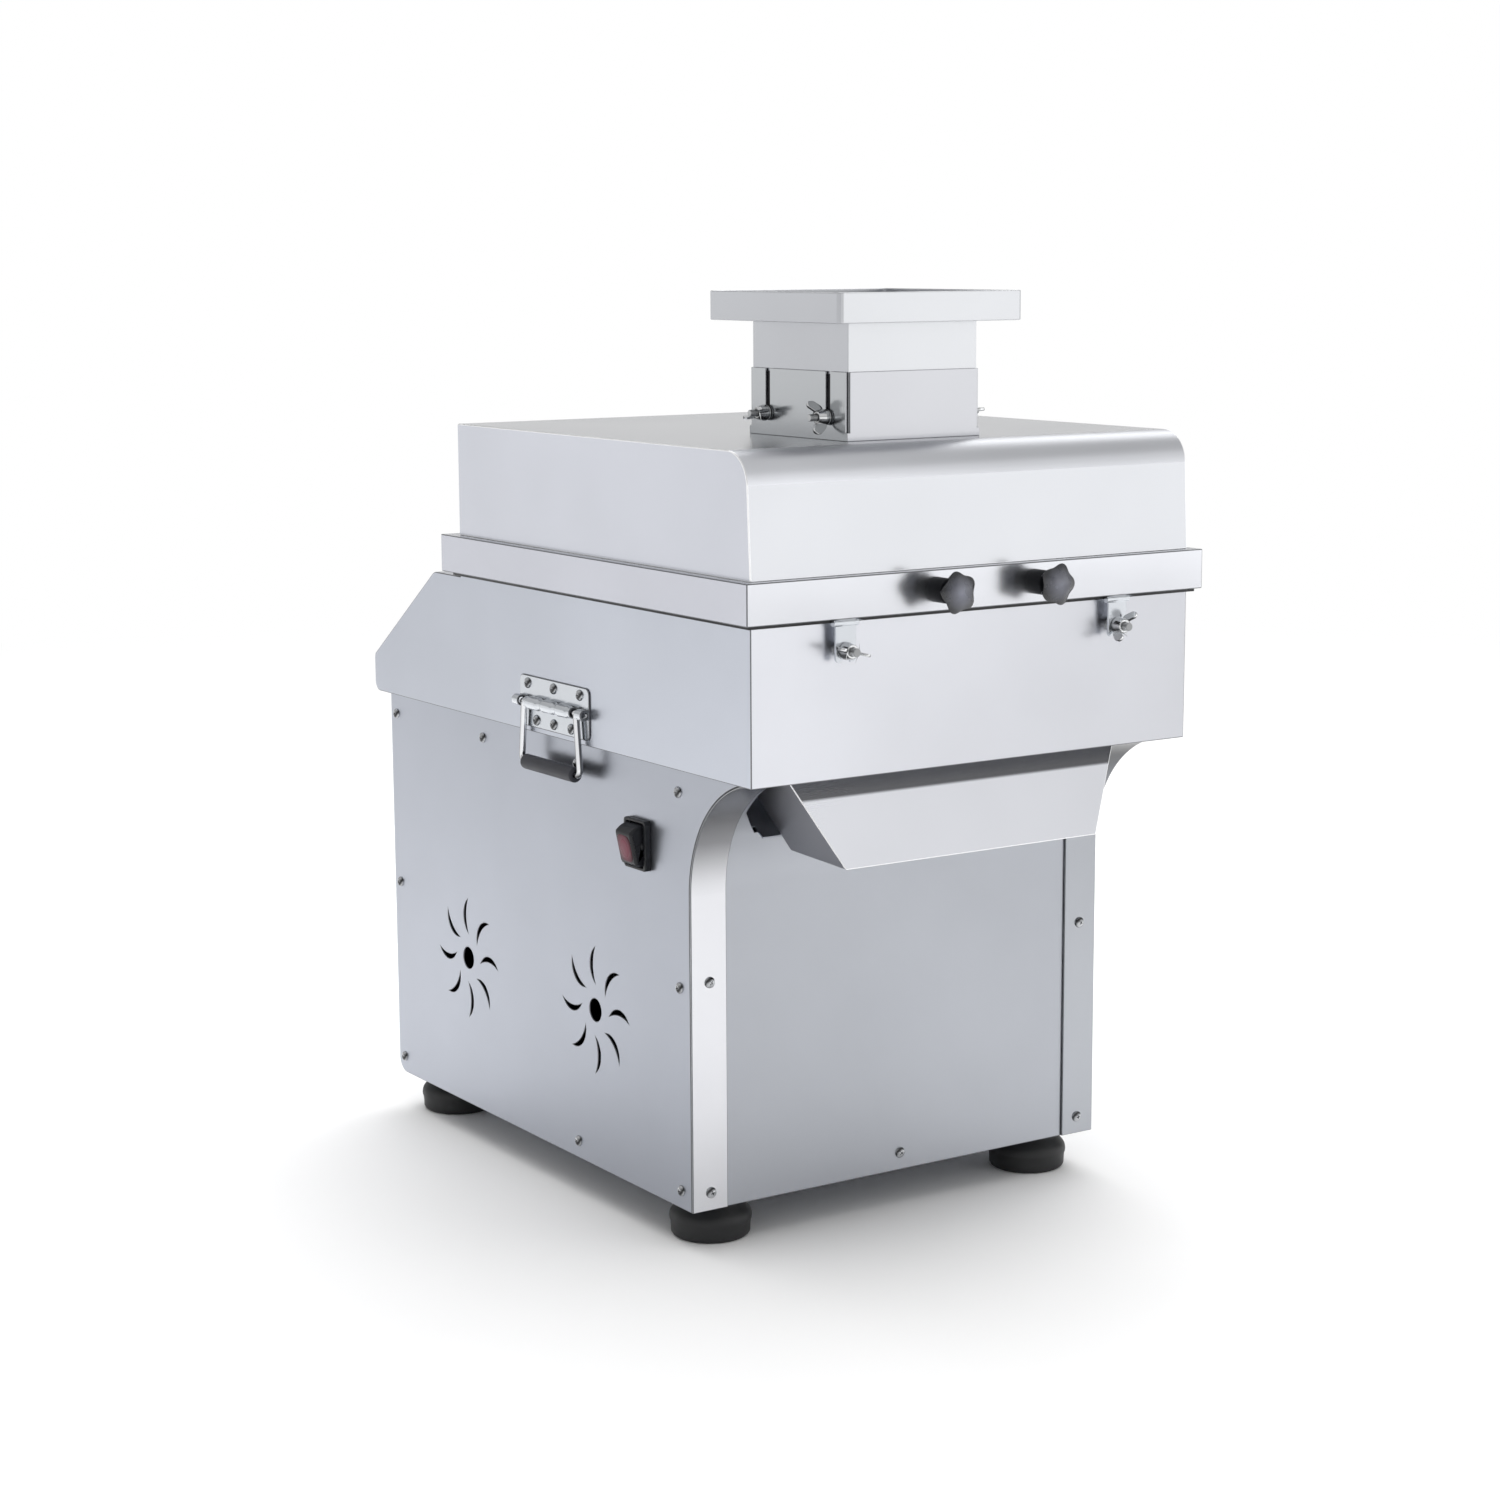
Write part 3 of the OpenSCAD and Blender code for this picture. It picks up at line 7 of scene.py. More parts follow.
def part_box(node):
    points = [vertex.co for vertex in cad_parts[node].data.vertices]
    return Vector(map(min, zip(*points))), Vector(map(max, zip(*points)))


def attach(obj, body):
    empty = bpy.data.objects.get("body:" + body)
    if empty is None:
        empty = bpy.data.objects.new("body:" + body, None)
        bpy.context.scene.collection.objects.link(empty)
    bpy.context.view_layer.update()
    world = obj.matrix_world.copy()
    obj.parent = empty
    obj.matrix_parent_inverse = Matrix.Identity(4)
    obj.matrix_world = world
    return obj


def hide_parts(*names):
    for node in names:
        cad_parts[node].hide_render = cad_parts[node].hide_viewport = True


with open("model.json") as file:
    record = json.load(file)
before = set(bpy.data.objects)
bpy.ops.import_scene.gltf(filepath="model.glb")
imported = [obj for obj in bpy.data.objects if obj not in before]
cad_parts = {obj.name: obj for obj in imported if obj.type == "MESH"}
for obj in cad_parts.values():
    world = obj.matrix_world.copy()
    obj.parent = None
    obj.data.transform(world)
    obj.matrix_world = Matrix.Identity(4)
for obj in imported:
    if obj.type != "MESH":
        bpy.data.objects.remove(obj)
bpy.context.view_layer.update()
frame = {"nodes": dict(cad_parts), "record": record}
cadNodes = frame["nodes"]
bodyOf = {node: body for body, members in frame["record"]["behaviour"]["bodies"].items() for node in members}
print("frame loaded,", len(cadNodes), "nodes")


# selecting and finishing

def deselectAll():
    if bpy.context.object and bpy.context.object.mode != "OBJECT":
        bpy.ops.object.mode_set(mode="OBJECT")
    bpy.ops.object.select_all(action="DESELECT")


def activate(piece):
    deselectAll()
    piece.select_set(True)
    bpy.context.view_layer.objects.active = piece


def applyAll(piece):
    activate(piece)
    for modifier in list(piece.modifiers):
        bpy.ops.object.modifier_apply(modifier=modifier.name)


def smooth(piece, angle):
    activate(piece)
    bpy.ops.object.shade_smooth_by_angle(angle=math.radians(angle))


def settle(piece):  # place and turn go into the mesh
    activate(piece)
    bpy.ops.object.transform_apply(location=True, rotation=True, scale=True)


def addObject(name, data):
    piece = bpy.data.objects.new(name, data)
    bpy.context.scene.collection.objects.link(piece)
    return piece


def joinAll(pieces, name):
    deselectAll()
    for piece in pieces:
        piece.select_set(True)
    bpy.context.view_layer.objects.active = pieces[0]
    bpy.ops.object.join()
    bpy.context.object.name = name
    return bpy.context.object


def discard(piece):
    activate(piece)
    bpy.ops.object.delete()


def addBevel(piece, width, segments, angle=30):
    bevel = piece.modifiers.new("edge", "BEVEL")
    bevel.width = width
    bevel.segments = segments
    bevel.limit_method = "ANGLE"
    bevel.angle_limit = math.radians(angle)
    return bevel


def addThickness(piece, thickness, offset):
    wall = piece.modifiers.new("wall", "SOLIDIFY")
    wall.thickness = thickness
    wall.offset = offset


def cutAway(piece, cutter):
    cut = piece.modifiers.new("cut", "BOOLEAN")
    cut.object = cutter
    cut.operation = "DIFFERENCE"
    cut.solver = "EXACT"
    applyAll(piece)
    discard(cutter)


def paint(piece, *materials, slots=()):  # slots give each face its material
    piece.data.materials.clear()
    for material in materials:
        piece.data.materials.append(material)
    if slots:
        piece.data.polygons.foreach_set("material_index", slots)


def dress(piece, node, *materials, slots=(), replaced=True):  # rides with a CAD node's body and hides the node it replaces
    paint(piece, *materials, slots=slots)
    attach(piece, bodyOf[node])
    if replaced:
        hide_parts(node)


# materials

evenly = (1, 1, 1)
noiseSpan = (0.3, 0.7)  # most of a noise lies between these values


def startMaterial(name, tone, rough, metal=0.0):
    material = bpy.data.materials.new(name)
    material.use_nodes = True
    tree = material.node_tree
    shader = tree.nodes["Principled BSDF"]
    shader.inputs["Base Color"].default_value = (*tone, 1)
    shader.inputs["Roughness"].default_value = rough
    shader.inputs["Metallic"].default_value = metal
    return material, tree, shader


def addNode(tree, kind, **values):
    node = tree.nodes.new(kind)
    for name, value in values.items():
        if name in node.inputs:
            node.inputs[name].default_value = value
        else:
            setattr(node, name, value)
    return node


def objectCoords(tree):
    return addNode(tree, "ShaderNodeTexCoord").outputs["Object"]


def mapped(tree, **values):  # Object coordinates, stretched or moved
    mapping = addNode(tree, "ShaderNodeMapping", **values)
    tree.links.new(objectCoords(tree), mapping.inputs["Vector"])
    return mapping.outputs["Vector"]


def noiseOn(tree, spread, scale, detail):  # stretched noise in metres
    noise = addNode(tree, "ShaderNodeTexNoise", Scale=scale, Detail=detail, Roughness=0.55)
    tree.links.new(mapped(tree, Scale=spread), noise.inputs["Vector"])
    return noise.outputs["Fac"]


def lengthOf(tree, vector):
    node = addNode(tree, "ShaderNodeVectorMath", operation="LENGTH")
    tree.links.new(vector, node.inputs[0])
    return node.outputs["Value"]


def partAlong(tree, axis):
    split = addNode(tree, "ShaderNodeSeparateXYZ")
    tree.links.new(objectCoords(tree), split.inputs["Vector"])
    return split.outputs[axis]


def remap(tree, value, low, high, reach=noiseSpan):
    limits = {"From Min": reach[0], "From Max": reach[1], "To Min": low, "To Max": high}
    node = addNode(tree, "ShaderNodeMapRange", **limits)
    tree.links.new(value, node.inputs["Value"])
    return node.outputs["Result"]


def combine(tree, first, second, operation):
    node = addNode(tree, "ShaderNodeMath", operation=operation)
    tree.links.new(first, node.inputs[0])
    tree.links.new(second, node.inputs[1])
    return node.outputs["Value"]


def tint(tree, shader, value, dark, light):
    ramp = addNode(tree, "ShaderNodeValToRGB")
    for element, position, tone in zip(ramp.color_ramp.elements, noiseSpan, (dark, light)):
        element.position = position
        element.color = (*tone, 1)
    tree.links.new(value, ramp.inputs["Fac"])
    tree.links.new(ramp.outputs["Color"], shader.inputs["Base Color"])


def emboss(tree, shader, value, strength, distance):
    bump = addNode(tree, "ShaderNodeBump", Strength=strength, Distance=distance)
    tree.links.new(value, bump.inputs["Height"])
    tree.links.new(bump.outputs["Normal"], shader.inputs["Normal"])


sheetLook = {"patchScale": 7.0, "dark": 0.965, "light": 1.03, "grainDepth": 0.0002}


def brushedSheet(name, tone, rough, grain, lines=0.003, cloud=0.012, relief=0.002):
    material, tree, shader = startMaterial(name, tone, rough, metal=1.0)
    fine = noiseOn(tree, grain, 1.0, detail=4.0)  # brush lines along the sheet
    soft = noiseOn(tree, evenly, sheetLook["patchScale"], detail=2.0)  # rolling marks and wiped patches
    brushed = remap(tree, fine, rough - lines, rough + lines)
    clouded = remap(tree, soft, -cloud, cloud)
    tree.links.new(combine(tree, brushed, clouded, "ADD"), shader.inputs["Roughness"])
    dark = [sheetLook["dark"] * c for c in tone]
    light = [min(1.0, sheetLook["light"] * c) for c in tone]
    tint(tree, shader, soft, dark, light)
    if relief:
        emboss(tree, shader, fine, relief, sheetLook["grainDepth"])
    return material


def scaleTone(tree, amount):
    shader = tree.nodes["Principled BSDF"]
    shade = addNode(tree, "ShaderNodeVectorMath", operation="SCALE")
    tree.links.new(shader.inputs["Base Color"].links[0].from_socket, shade.inputs[0])
    tree.links.new(amount, shade.inputs["Scale"])
    tree.links.new(shade.outputs["Vector"], shader.inputs["Base Color"])


def paintShadingAlong(material, axis, reach, amounts):  # painted light and shade: the tone runs from one amount to the other along an axis
    tree = material.node_tree
    scaleTone(tree, remap(tree, partAlong(tree, axis), *amounts, reach))


def paintHighlightMiddle(material, centre, reach, most):  # painted highlight: paler towards the middle of the face
    tree = material.node_tree
    away = lengthOf(tree, mapped(tree, Scale=(1, 0, 1), Location=(-centre[0], 0, -centre[2])))
    scaleTone(tree, remap(tree, away, most, 1.0, (0.0, reach)))


def paintReflectionBand(material, towards, reach, least):  # painted reflection: darker where the surface's normal lies across the given direction, a dark band round each bar
    tree = material.node_tree
    surface = addNode(tree, "ShaderNodeNewGeometry")
    facing = addNode(tree, "ShaderNodeVectorMath", operation="DOT_PRODUCT")
    facing.inputs[1].default_value = towards
    tree.links.new(surface.outputs["Normal"], facing.inputs[0])
    size = addNode(tree, "ShaderNodeMath", operation="ABSOLUTE")
    tree.links.new(facing.outputs["Value"], size.inputs[0])
    scaleTone(tree, remap(tree, size.outputs["Value"], least, 1.0, reach))


mouldLook = {"dustScale": 60.0, "dark": 0.85, "light": 1.3, "worn": 0.06, "dusty": 0.1, "grainDepth": 0.0003}


def mouldedBlack(name, tone, rough, grainSize, relief, shine=0.5):
    material, tree, shader = startMaterial(name, tone, rough)
    grain = noiseOn(tree, evenly, 1 / grainSize, detail=2.0)
    dust = noiseOn(tree, evenly, mouldLook["dustScale"], detail=4.0)
    roughness = remap(tree, dust, rough - mouldLook["worn"], rough + mouldLook["dusty"])
    tree.links.new(roughness, shader.inputs["Roughness"])
    dark = [mouldLook["dark"] * c for c in tone]
    light = [mouldLook["light"] * c for c in tone]
    tint(tree, shader, dust, dark, light)
    emboss(tree, shader, grain, relief, mouldLook["grainDepth"])
    shader.inputs["Specular IOR Level"].default_value = shine
    return material


sideGrain = (14, 14, 1500)  # brush lines run along the axes with small numbers
hoodGrain = (1500, 14, 14)
stripGrain = (1200, 14, 14)
fittingGrain = (300, 300, 300)
# each ...Flank finish is a copy of its part's sheet finish, painted lighter or darker for how light falls on
# the side faces
satinSheet = brushedSheet("satinSheet", (0.415, 0.435, 0.485), 0.30, sideGrain)
frontSheet = brushedSheet("frontSheet", (0.41, 0.425, 0.46), 0.32, sideGrain)
basinSheet = brushedSheet("basinSheet", (0.65, 0.66, 0.70), 0.29, sideGrain, relief=0.0)
basinFlank = brushedSheet("basinFlank", (0.535, 0.56, 0.62), 0.30, sideGrain, relief=0.0)
chuteSheet = brushedSheet("chuteSheet", (0.68, 0.69, 0.73), 0.27, sideGrain, relief=0.0)
hoodSheet = brushedSheet("hoodSheet", (0.55, 0.56, 0.585), 0.21, hoodGrain)
hoodFlank = brushedSheet("hoodFlank", (0.61, 0.625, 0.68), 0.22, sideGrain)
# the hood's front bend: rougher, with a lighter tone that is painted light
hoodBend = brushedSheet("hoodBend", (0.6, 0.61, 0.64), 0.38, hoodGrain)
skirtSheet = brushedSheet("skirtSheet", (0.67, 0.68, 0.715), 0.24, sideGrain)
skirtFlank = brushedSheet("skirtFlank", (0.585, 0.595, 0.65), 0.25, sideGrain)
feedSheet = brushedSheet("feedSheet", (0.565, 0.575, 0.595), 0.25, sideGrain)
feedFlank = brushedSheet("feedFlank", (0.495, 0.505, 0.53), 0.25, sideGrain)
collarSheet = brushedSheet("collarSheet", (0.485, 0.49, 0.515), 0.22, sideGrain)
collarFlank = brushedSheet("collarFlank", (0.455, 0.47, 0.485), 0.2, sideGrain)
# the two corner strips are one steel, painted lit on the left and shaded on the right
leftStrip = brushedSheet("leftStrip", (0.72, 0.725, 0.755), 0.24, stripGrain)
rightStrip = brushedSheet("rightStrip", (0.41, 0.425, 0.455), 0.26, stripGrain)
stampedSheet = brushedSheet("stampedSheet", (0.62, 0.645, 0.68), 0.2, (900, 900, 40))
wingSteel = brushedSheet("wingSteel", (0.78, 0.79, 0.80), 0.12, fittingGrain, lines=0.04)
wireSteel = brushedSheet("wireSteel", (0.78, 0.79, 0.81), 0.1, fittingGrain, lines=0.03)
screwSteel = brushedSheet("screwSteel", (0.5, 0.51, 0.525), 0.14, fittingGrain, lines=0.04)
# painted shade and painted highlight for bevelled edges
edgeShade = brushedSheet("edgeShade", (0.16, 0.165, 0.175), 0.3, fittingGrain)
edgeHighlight = brushedSheet("edgeHighlight", (0.93, 0.935, 0.945), 0.25, fittingGrain)
chuteFlank = brushedSheet("chuteFlank", (0.31, 0.312, 0.335), 0.4, sideGrain)

# painted light and shade: tone runs, from and to in metres, then the share of the tone at each
# painted shade on the left strip towards the top of the cove under the basin, then painted light lifting the
# very top
paintShadingAlong(leftStrip, "Z", (0.262, 0.302), (1.0, 0.42))
paintShadingAlong(leftStrip, "Z", (0.318, 0.332), (1.0, 1.3))
# painted shadow: a dark band across the chute's top, under the basin
paintShadingAlong(chuteSheet, "Z", (0.336, 0.338), (1.0, 0.17))
# painted shade on the right strip towards the top of the cove
paintShadingAlong(rightStrip, "Z", (0.29, 0.335), (1.0, 0.12))
# painted light falling off: basin front darker to the right, basin sides darker to the rear, side panels
# darker to the front, chute darker to the right
paintShadingAlong(basinSheet, "X", (-0.16, 0.2), (1.04, 0.87))
paintShadingAlong(basinFlank, "Y", (-0.1, 0.25), (1.0, 0.92))
paintShadingAlong(satinSheet, "Y", (-0.25, 0.2), (0.9, 1.05))
paintShadingAlong(chuteSheet, "X", (-0.12, 0.12), (1.0, 0.92))
# painted highlight: the hood's bend lighter towards the left
paintShadingAlong(hoodBend, "X", (-0.16, 0.02), (1.22, 1.0))

# painted reflection: dark where the surface runs along a direction
paintReflectionBand(wingSteel, (-0.3, -0.6, 0.74), (0.15, 0.6), 0.1)
paintReflectionBand(wireSteel, (-0.3, -0.6, 0.74), (0.1, 0.5), 0.12)
paintReflectionBand(screwSteel, (-0.35, 0.55, 0.75), (0.1, 0.5), 0.1)

knifeSteel = brushedSheet("knifeSteel", (0.70, 0.71, 0.72), 0.2, (900, 60, 60), lines=0.04)
milledSteel = brushedSheet("milledSteel", (0.52, 0.53, 0.54), 0.34, (40, 1100, 40), lines=0.06)
castIron = brushedSheet("castIron", (0.20, 0.205, 0.21), 0.5, (420, 420, 420), lines=0.1, relief=0.25)
mouldedRubber = mouldedBlack("mouldedRubber", (0.009, 0.0095, 0.0105), 0.5, 0.0006, 0.1)
beltRubber = mouldedBlack("beltRubber", (0.02, 0.02, 0.021), 0.75, 0.0009, 0.3)
leftKnob = mouldedBlack("leftKnob", (0.012, 0.0125, 0.0155), 0.26, 0.0005, 0.04, shine=0.7)
rightKnob = mouldedBlack("rightKnob", (0.012, 0.0125, 0.0155), 0.26, 0.0005, 0.04, shine=0.7)
# painted shade: the knobs' hub is a darker, duller copy of their plastic
hubPlastic = mouldedBlack("hubPlastic", (0.006, 0.0065, 0.008), 0.4, 0.0005, 0.06, shine=0.12)
mouldedPlastic = mouldedBlack("mouldedPlastic", (0.009, 0.0095, 0.012), 0.3, 0.0005, 0.06, shine=0.3)
gripSleeve = mouldedBlack("gripSleeve", (0.032, 0.033, 0.04), 0.42, 0.0007, 0.1, shine=0.25)


def threadedSteel(name, axis):  # thread turns shown as fine rings along the stud, bumped, with painted shade darkening the grooves
    material, tree, shader = startMaterial(name, (0.56, 0.57, 0.58), 0.2, metal=1.0)
    turns = addNode(tree, "ShaderNodeTexWave", bands_direction=axis, Scale=314.0)  # about 1 mm a turn
    tree.links.new(objectCoords(tree), turns.inputs["Vector"])
    tint(tree, shader, turns.outputs["Fac"], (0.3, 0.305, 0.31), (0.62, 0.63, 0.64))
    tree.links.new(remap(tree, turns.outputs["Fac"], 0.3, 0.16), shader.inputs["Roughness"])
    emboss(tree, shader, turns.outputs["Fac"], 0.5, 0.0004)
    return material


lensMiddleHighlight = {"centre": (-0.1976, -0.112, 0.2885), "halfWide": 0.016, "halfTall": 0.02}


def lensFinish(size):  # red lens with a painted highlight: brightest in the middle, running out to black at the rim
    material, tree, shader = startMaterial("rockerLens", (0.12, 0.016, 0.026), 0.3)
    spread = (0, 1 / size["halfWide"], 1 / size["halfTall"])
    shift = [-c * k for c, k in zip(size["centre"], spread)]
    reach = lengthOf(tree, mapped(tree, Scale=spread, Location=shift))
    tint(tree, shader, reach, (0.16, 0.034, 0.055), (0.02, 0.005, 0.008))
    tree.links.new(remap(tree, reach, 0.26, 0.4), shader.inputs["Roughness"])
    shader.inputs["Specular IOR Level"].default_value = 0.2
    return material


def paintedMotor():
    material, tree, shader = startMaterial("motorPaint", (0.10, 0.14, 0.19), 0.45)
    peel = noiseOn(tree, evenly, 900.0, detail=2.0)
    dirt = noiseOn(tree, evenly, 30.0, detail=4.0)
    tint(tree, shader, dirt, (0.085, 0.12, 0.165), (0.125, 0.17, 0.225))
    tree.links.new(remap(tree, dirt, 0.36, 0.55), shader.inputs["Roughness"])
    emboss(tree, shader, peel, 0.1, 0.0003)
    return material


feedThread = threadedSteel("feedThread", "X")
clampThread = threadedSteel("clampThread", "Y")
rockerLens = lensFinish(lensMiddleHighlight)
motorPaint = paintedMotor()

finishes = {
    satinSheet: ["left_side_panel", "right_side_panel", "rear_panel", "base_pan", "discharge_slide",
                 "gear_bulkhead"],
    frontSheet: ["front_panel"],
    basinSheet: ["basin"],
    chuteSheet: ["discharge_chute"],
    hoodSheet: ["hood_cover"],
    skirtSheet: ["hood_skirt"],
    feedSheet: ["feed_tube", "hopper_tray"],
    collarSheet: ["feed_collar"],
    leftStrip: ["left_corner_strip"],
    rightStrip: ["right_corner_strip"],
    stampedSheet: ["left_handle_plate", "right_handle_plate", "hasp_tabs"],
    feedThread: ["feed_studs"],
    clampThread: ["clamp_studs"],
    screwSteel: ["panel_screws"],
    wingSteel: ["left_front_feed_nut", "left_rear_feed_nut", "right_front_feed_nut", "right_rear_feed_nut",
                "left_clamp_nut", "right_clamp_nut"],
    wireSteel: ["left_handle_bail", "right_handle_bail"],
    knifeSteel: ["front_blades", "rear_blades", "front_knife_shaft", "rear_knife_shaft", "motor_shaft",
                 "knife_bearings", "front_comb", "rear_comb"],
    milledSteel: ["left_bearing_plate", "right_bearing_plate", "front_spacers", "rear_spacers", "front_gear",
                  "rear_gear"],
    castIron: ["driven_pulley", "motor_pulley", "motor_rails"],
    mouldedRubber: ["rubber_feet"],
    beltRubber: ["drive_belt"],
    mouldedPlastic: ["cable_gland", "switch_frame", "motor_fan_cover"],
    leftKnob: ["left_star_knob"],
    rightKnob: ["right_star_knob"],
    gripSleeve: ["left_handle_grip", "right_handle_grip"],
    rockerLens: ["switch_rocker"],
    motorPaint: ["motor_housing"],
}
finishOf = {node: material for material, members in finishes.items() for node in members}
for node, material in finishOf.items():
    paint(cadNodes[node], material)
print("materials made:", len(finishes))


# CAD solids with their edges eased, widths in metres

easedEdges = {
    "basin": 0.0007, "hood_cover": 0.0009, "hood_skirt": 0.0007, "feed_collar": 0.0005, "feed_tube": 0.0006,
    "hopper_tray": 0.0007, "discharge_chute": 0.0008, "discharge_slide": 0.0004, "left_side_panel": 0.0006,
    "right_side_panel": 0.0006, "front_panel": 0.0006, "rear_panel": 0.0006, "left_corner_strip": 0.0006,
    "right_corner_strip": 0.0006, "base_pan": 0.0006, "left_handle_plate": 0.0007,
    "right_handle_plate": 0.0007, "hasp_tabs": 0.0004, "left_front_feed_nut": 0.0005,
    "left_rear_feed_nut": 0.0005, "right_front_feed_nut": 0.0005, "right_rear_feed_nut": 0.0005,
    "left_clamp_nut": 0.0005, "right_clamp_nut": 0.0005, "switch_frame": 0.0009, "rubber_feet": 0.0012,
    "cable_gland": 0.0005, "left_bearing_plate": 0.0007, "right_bearing_plate": 0.0007,
    "gear_bulkhead": 0.0004, "front_comb": 0.0003, "rear_comb": 0.0003, "clamp_studs": 0.0004,
    "feed_studs": 0.0004, "front_gear": 0.0003, "rear_gear": 0.0003, "driven_pulley": 0.0006,
    "motor_pulley": 0.0006, "motor_housing": 0.0008, "motor_fan_cover": 0.0006, "motor_rails": 0.0006,
    "left_handle_grip": 0.0008, "right_handle_grip": 0.0008,
}
edgeLines = {  # painted shade (a dark line) or painted highlight (a bright line) on the bevels of these edges
    edgeShade: ["basin", "hood_skirt", "left_side_panel", "right_side_panel", "front_panel",
                "left_corner_strip", "right_corner_strip", "left_handle_plate", "right_handle_plate"],
    edgeHighlight: ["hood_cover", "discharge_chute"],
}
edgeOf = {node: material for material, members in edgeLines.items() for node in members}
# painted light and shade: side faces take these lighter or darker copies of the finish
flanks = {"basin": basinFlank, "hood_cover": hoodFlank, "hood_skirt": skirtFlank, "feed_tube": feedFlank,
          "hopper_tray": feedFlank, "feed_collar": collarFlank, "discharge_chute": chuteFlank}
# painted light: the hood's front bend takes its own lighter, rougher copy of the finish
bends = {"hood_cover": hoodBend}
easing = {"merge": 0.000004, "flat": 0.4, "sharp": 38, "smooth": 40, "pull": 100}  # metres, then degrees
facing = {"flank": 0.5, "barrelEnd": 0.8, "bendUp": 0.08, "bendFront": -0.02}  # limits of a face's normal


def finishesFor(node):  # finish and painted edge line, then the painted light and shade copies for flank and bend where it has them
    sides = [kind[node] for kind in (flanks, bends) if node in kind]
    return [finishOf[node], edgeOf.get(node, edgeShade)] + sides


def faceSlot(node, face):  # place of the face's material in the list above
    turned = face.normal
    if node.endswith("handle_plate") and abs(turned.y) > facing["barrelEnd"]:  # open ends of the barrel, painted shade
        return 1
    if face.material_index:
        return face.material_index
    # side faces and the hood's bend take their painted light and shade copies
    if node in flanks and abs(turned.x) > facing["flank"]:
        return 2
    if node in bends and turned.z > facing["bendUp"] and turned.y < facing["bendFront"]:
        return 3
    return 0


def mergeCorners():  # a CAD mesh is loose triangles
    bpy.ops.object.mode_set(mode="EDIT")
    bpy.ops.mesh.select_all(action="SELECT")
    bpy.ops.mesh.remove_doubles(threshold=easing["merge"])


def easeEdges(node, width, segments=2):
    piece = addObject(node + "_eased", cadNodes[node].data.copy())
    activate(piece)
    bpy.ops.mesh.customdata_custom_splitnormals_clear()
    mergeCorners()
    bpy.ops.mesh.dissolve_limited(angle_limit=math.radians(easing["flat"]))
    bpy.ops.object.mode_set(mode="OBJECT")
    paint(piece, *finishesFor(node))
    bevel = addBevel(piece, width, segments, easing["sharp"])
    bevel.use_clamp_overlap = False
    bevel.loop_slide = False
    # the bevel takes the painted edge shade or highlight
    if node in edgeOf:
        bevel.material = 1
    applyAll(piece)
    smooth(piece, easing["smooth"])
    flatten = piece.modifiers.new("flatFaces", "WEIGHTED_NORMAL")
    flatten.weight = easing["pull"]
    flatten.keep_sharp = True
    applyAll(piece)
    return piece


def dressEased(node, width):
    piece = easeEdges(node, width)
    slots = [faceSlot(node, face) for face in piece.data.polygons]
    dress(piece, node, *finishesFor(node), slots=slots)


for node, width in easedEdges.items():
    dressEased(node, width)
print("edges eased:", len(easedEdges))


# small fittings

def looseBoxes(node):  # lowest and highest corner of each solid in a node
    activate(addObject("probe", cadNodes[node].data.copy()))
    mergeCorners()
    bpy.ops.mesh.separate(type="LOOSE")
    bpy.ops.object.mode_set(mode="OBJECT")
    boxes = []
    for part in bpy.context.selected_objects:
        spread = list(zip(*[point.co for point in part.data.vertices]))
        boxes.append((Vector(map(min, spread)), Vector(map(max, spread))))
    bpy.ops.object.delete()
    return boxes


panHead = {"radius": 0.0042, "height": 0.0026, "slotWidth": 0.0011, "slotReach": 0.0026,
           "slotDepth": 0.0013, "twist": 37,
           "trim": 0.02, "cutterFoot": 0.25, "cutterTop": 0.707}  # shares of the size they are scaled to


def makePanHead(size):
    deselectAll()
    bpy.ops.mesh.primitive_uv_sphere_add(segments=32, ring_count=20, radius=1)
    head = bpy.context.object
    bpy.ops.object.mode_set(mode="EDIT")
    bpy.ops.mesh.bisect(plane_co=(0, 0, size["trim"]), plane_no=(0, 0, 1), clear_inner=True, use_fill=True)
    bpy.ops.object.mode_set(mode="OBJECT")
    head.scale = (size["radius"], size["radius"], size["height"])
    settle(head)
    for turn in (0, 90):  # two passes of a tapered cutter give the cross recess
        deselectAll()
        foot, top = size["cutterFoot"], size["cutterTop"]
        bpy.ops.mesh.primitive_cone_add(vertices=4, radius1=foot, radius2=top, depth=1)
        cutter = bpy.context.object
        bpy.ops.transform.rotate(value=math.radians(45), orient_axis="Z", center_override=(0, 0, 0))
        settle(cutter)
        cutter.scale = (size["slotWidth"], 2 * size["slotReach"], 2 * size["slotDepth"])
        cutter.rotation_euler = (0, 0, math.radians(turn))
        cutter.location = (0, 0, size["height"])
        settle(cutter)
        cutAway(head, cutter)
    smooth(head, 35)
    return head


def placeScrews():
    pattern = makePanHead(panHead)
    heads = []
    for count, (low, high) in enumerate(looseBoxes("panel_screws")):
        middle = (low + high) / 2
        spread = high - low
        along = max(range(3), key=lambda k: abs(spread[k] - sorted(spread)[1]))
        side = 1 if middle[along] > 0 else -1
        outward = Vector((0, 0, 0))
        outward[along] = side
        seat = middle.copy()
        seat[along] = (high[along] if side > 0 else low[along]) - side * panHead["height"]
        head = addObject("screwHead", pattern.data.copy())
        twist = Matrix.Rotation(math.radians(panHead["twist"] * count), 4, "Z")
        stand = outward.to_track_quat("Z", "Y").to_matrix().to_4x4()
        head.matrix_world = Matrix.Translation(seat) @ stand @ twist
        settle(head)
        heads.append(head)
    discard(pattern)
    screws = joinAll(heads, "panelScrewHeads")
    dress(screws, "panel_screws", screwSteel)
    print("screws placed:", len(heads))


placeScrews()

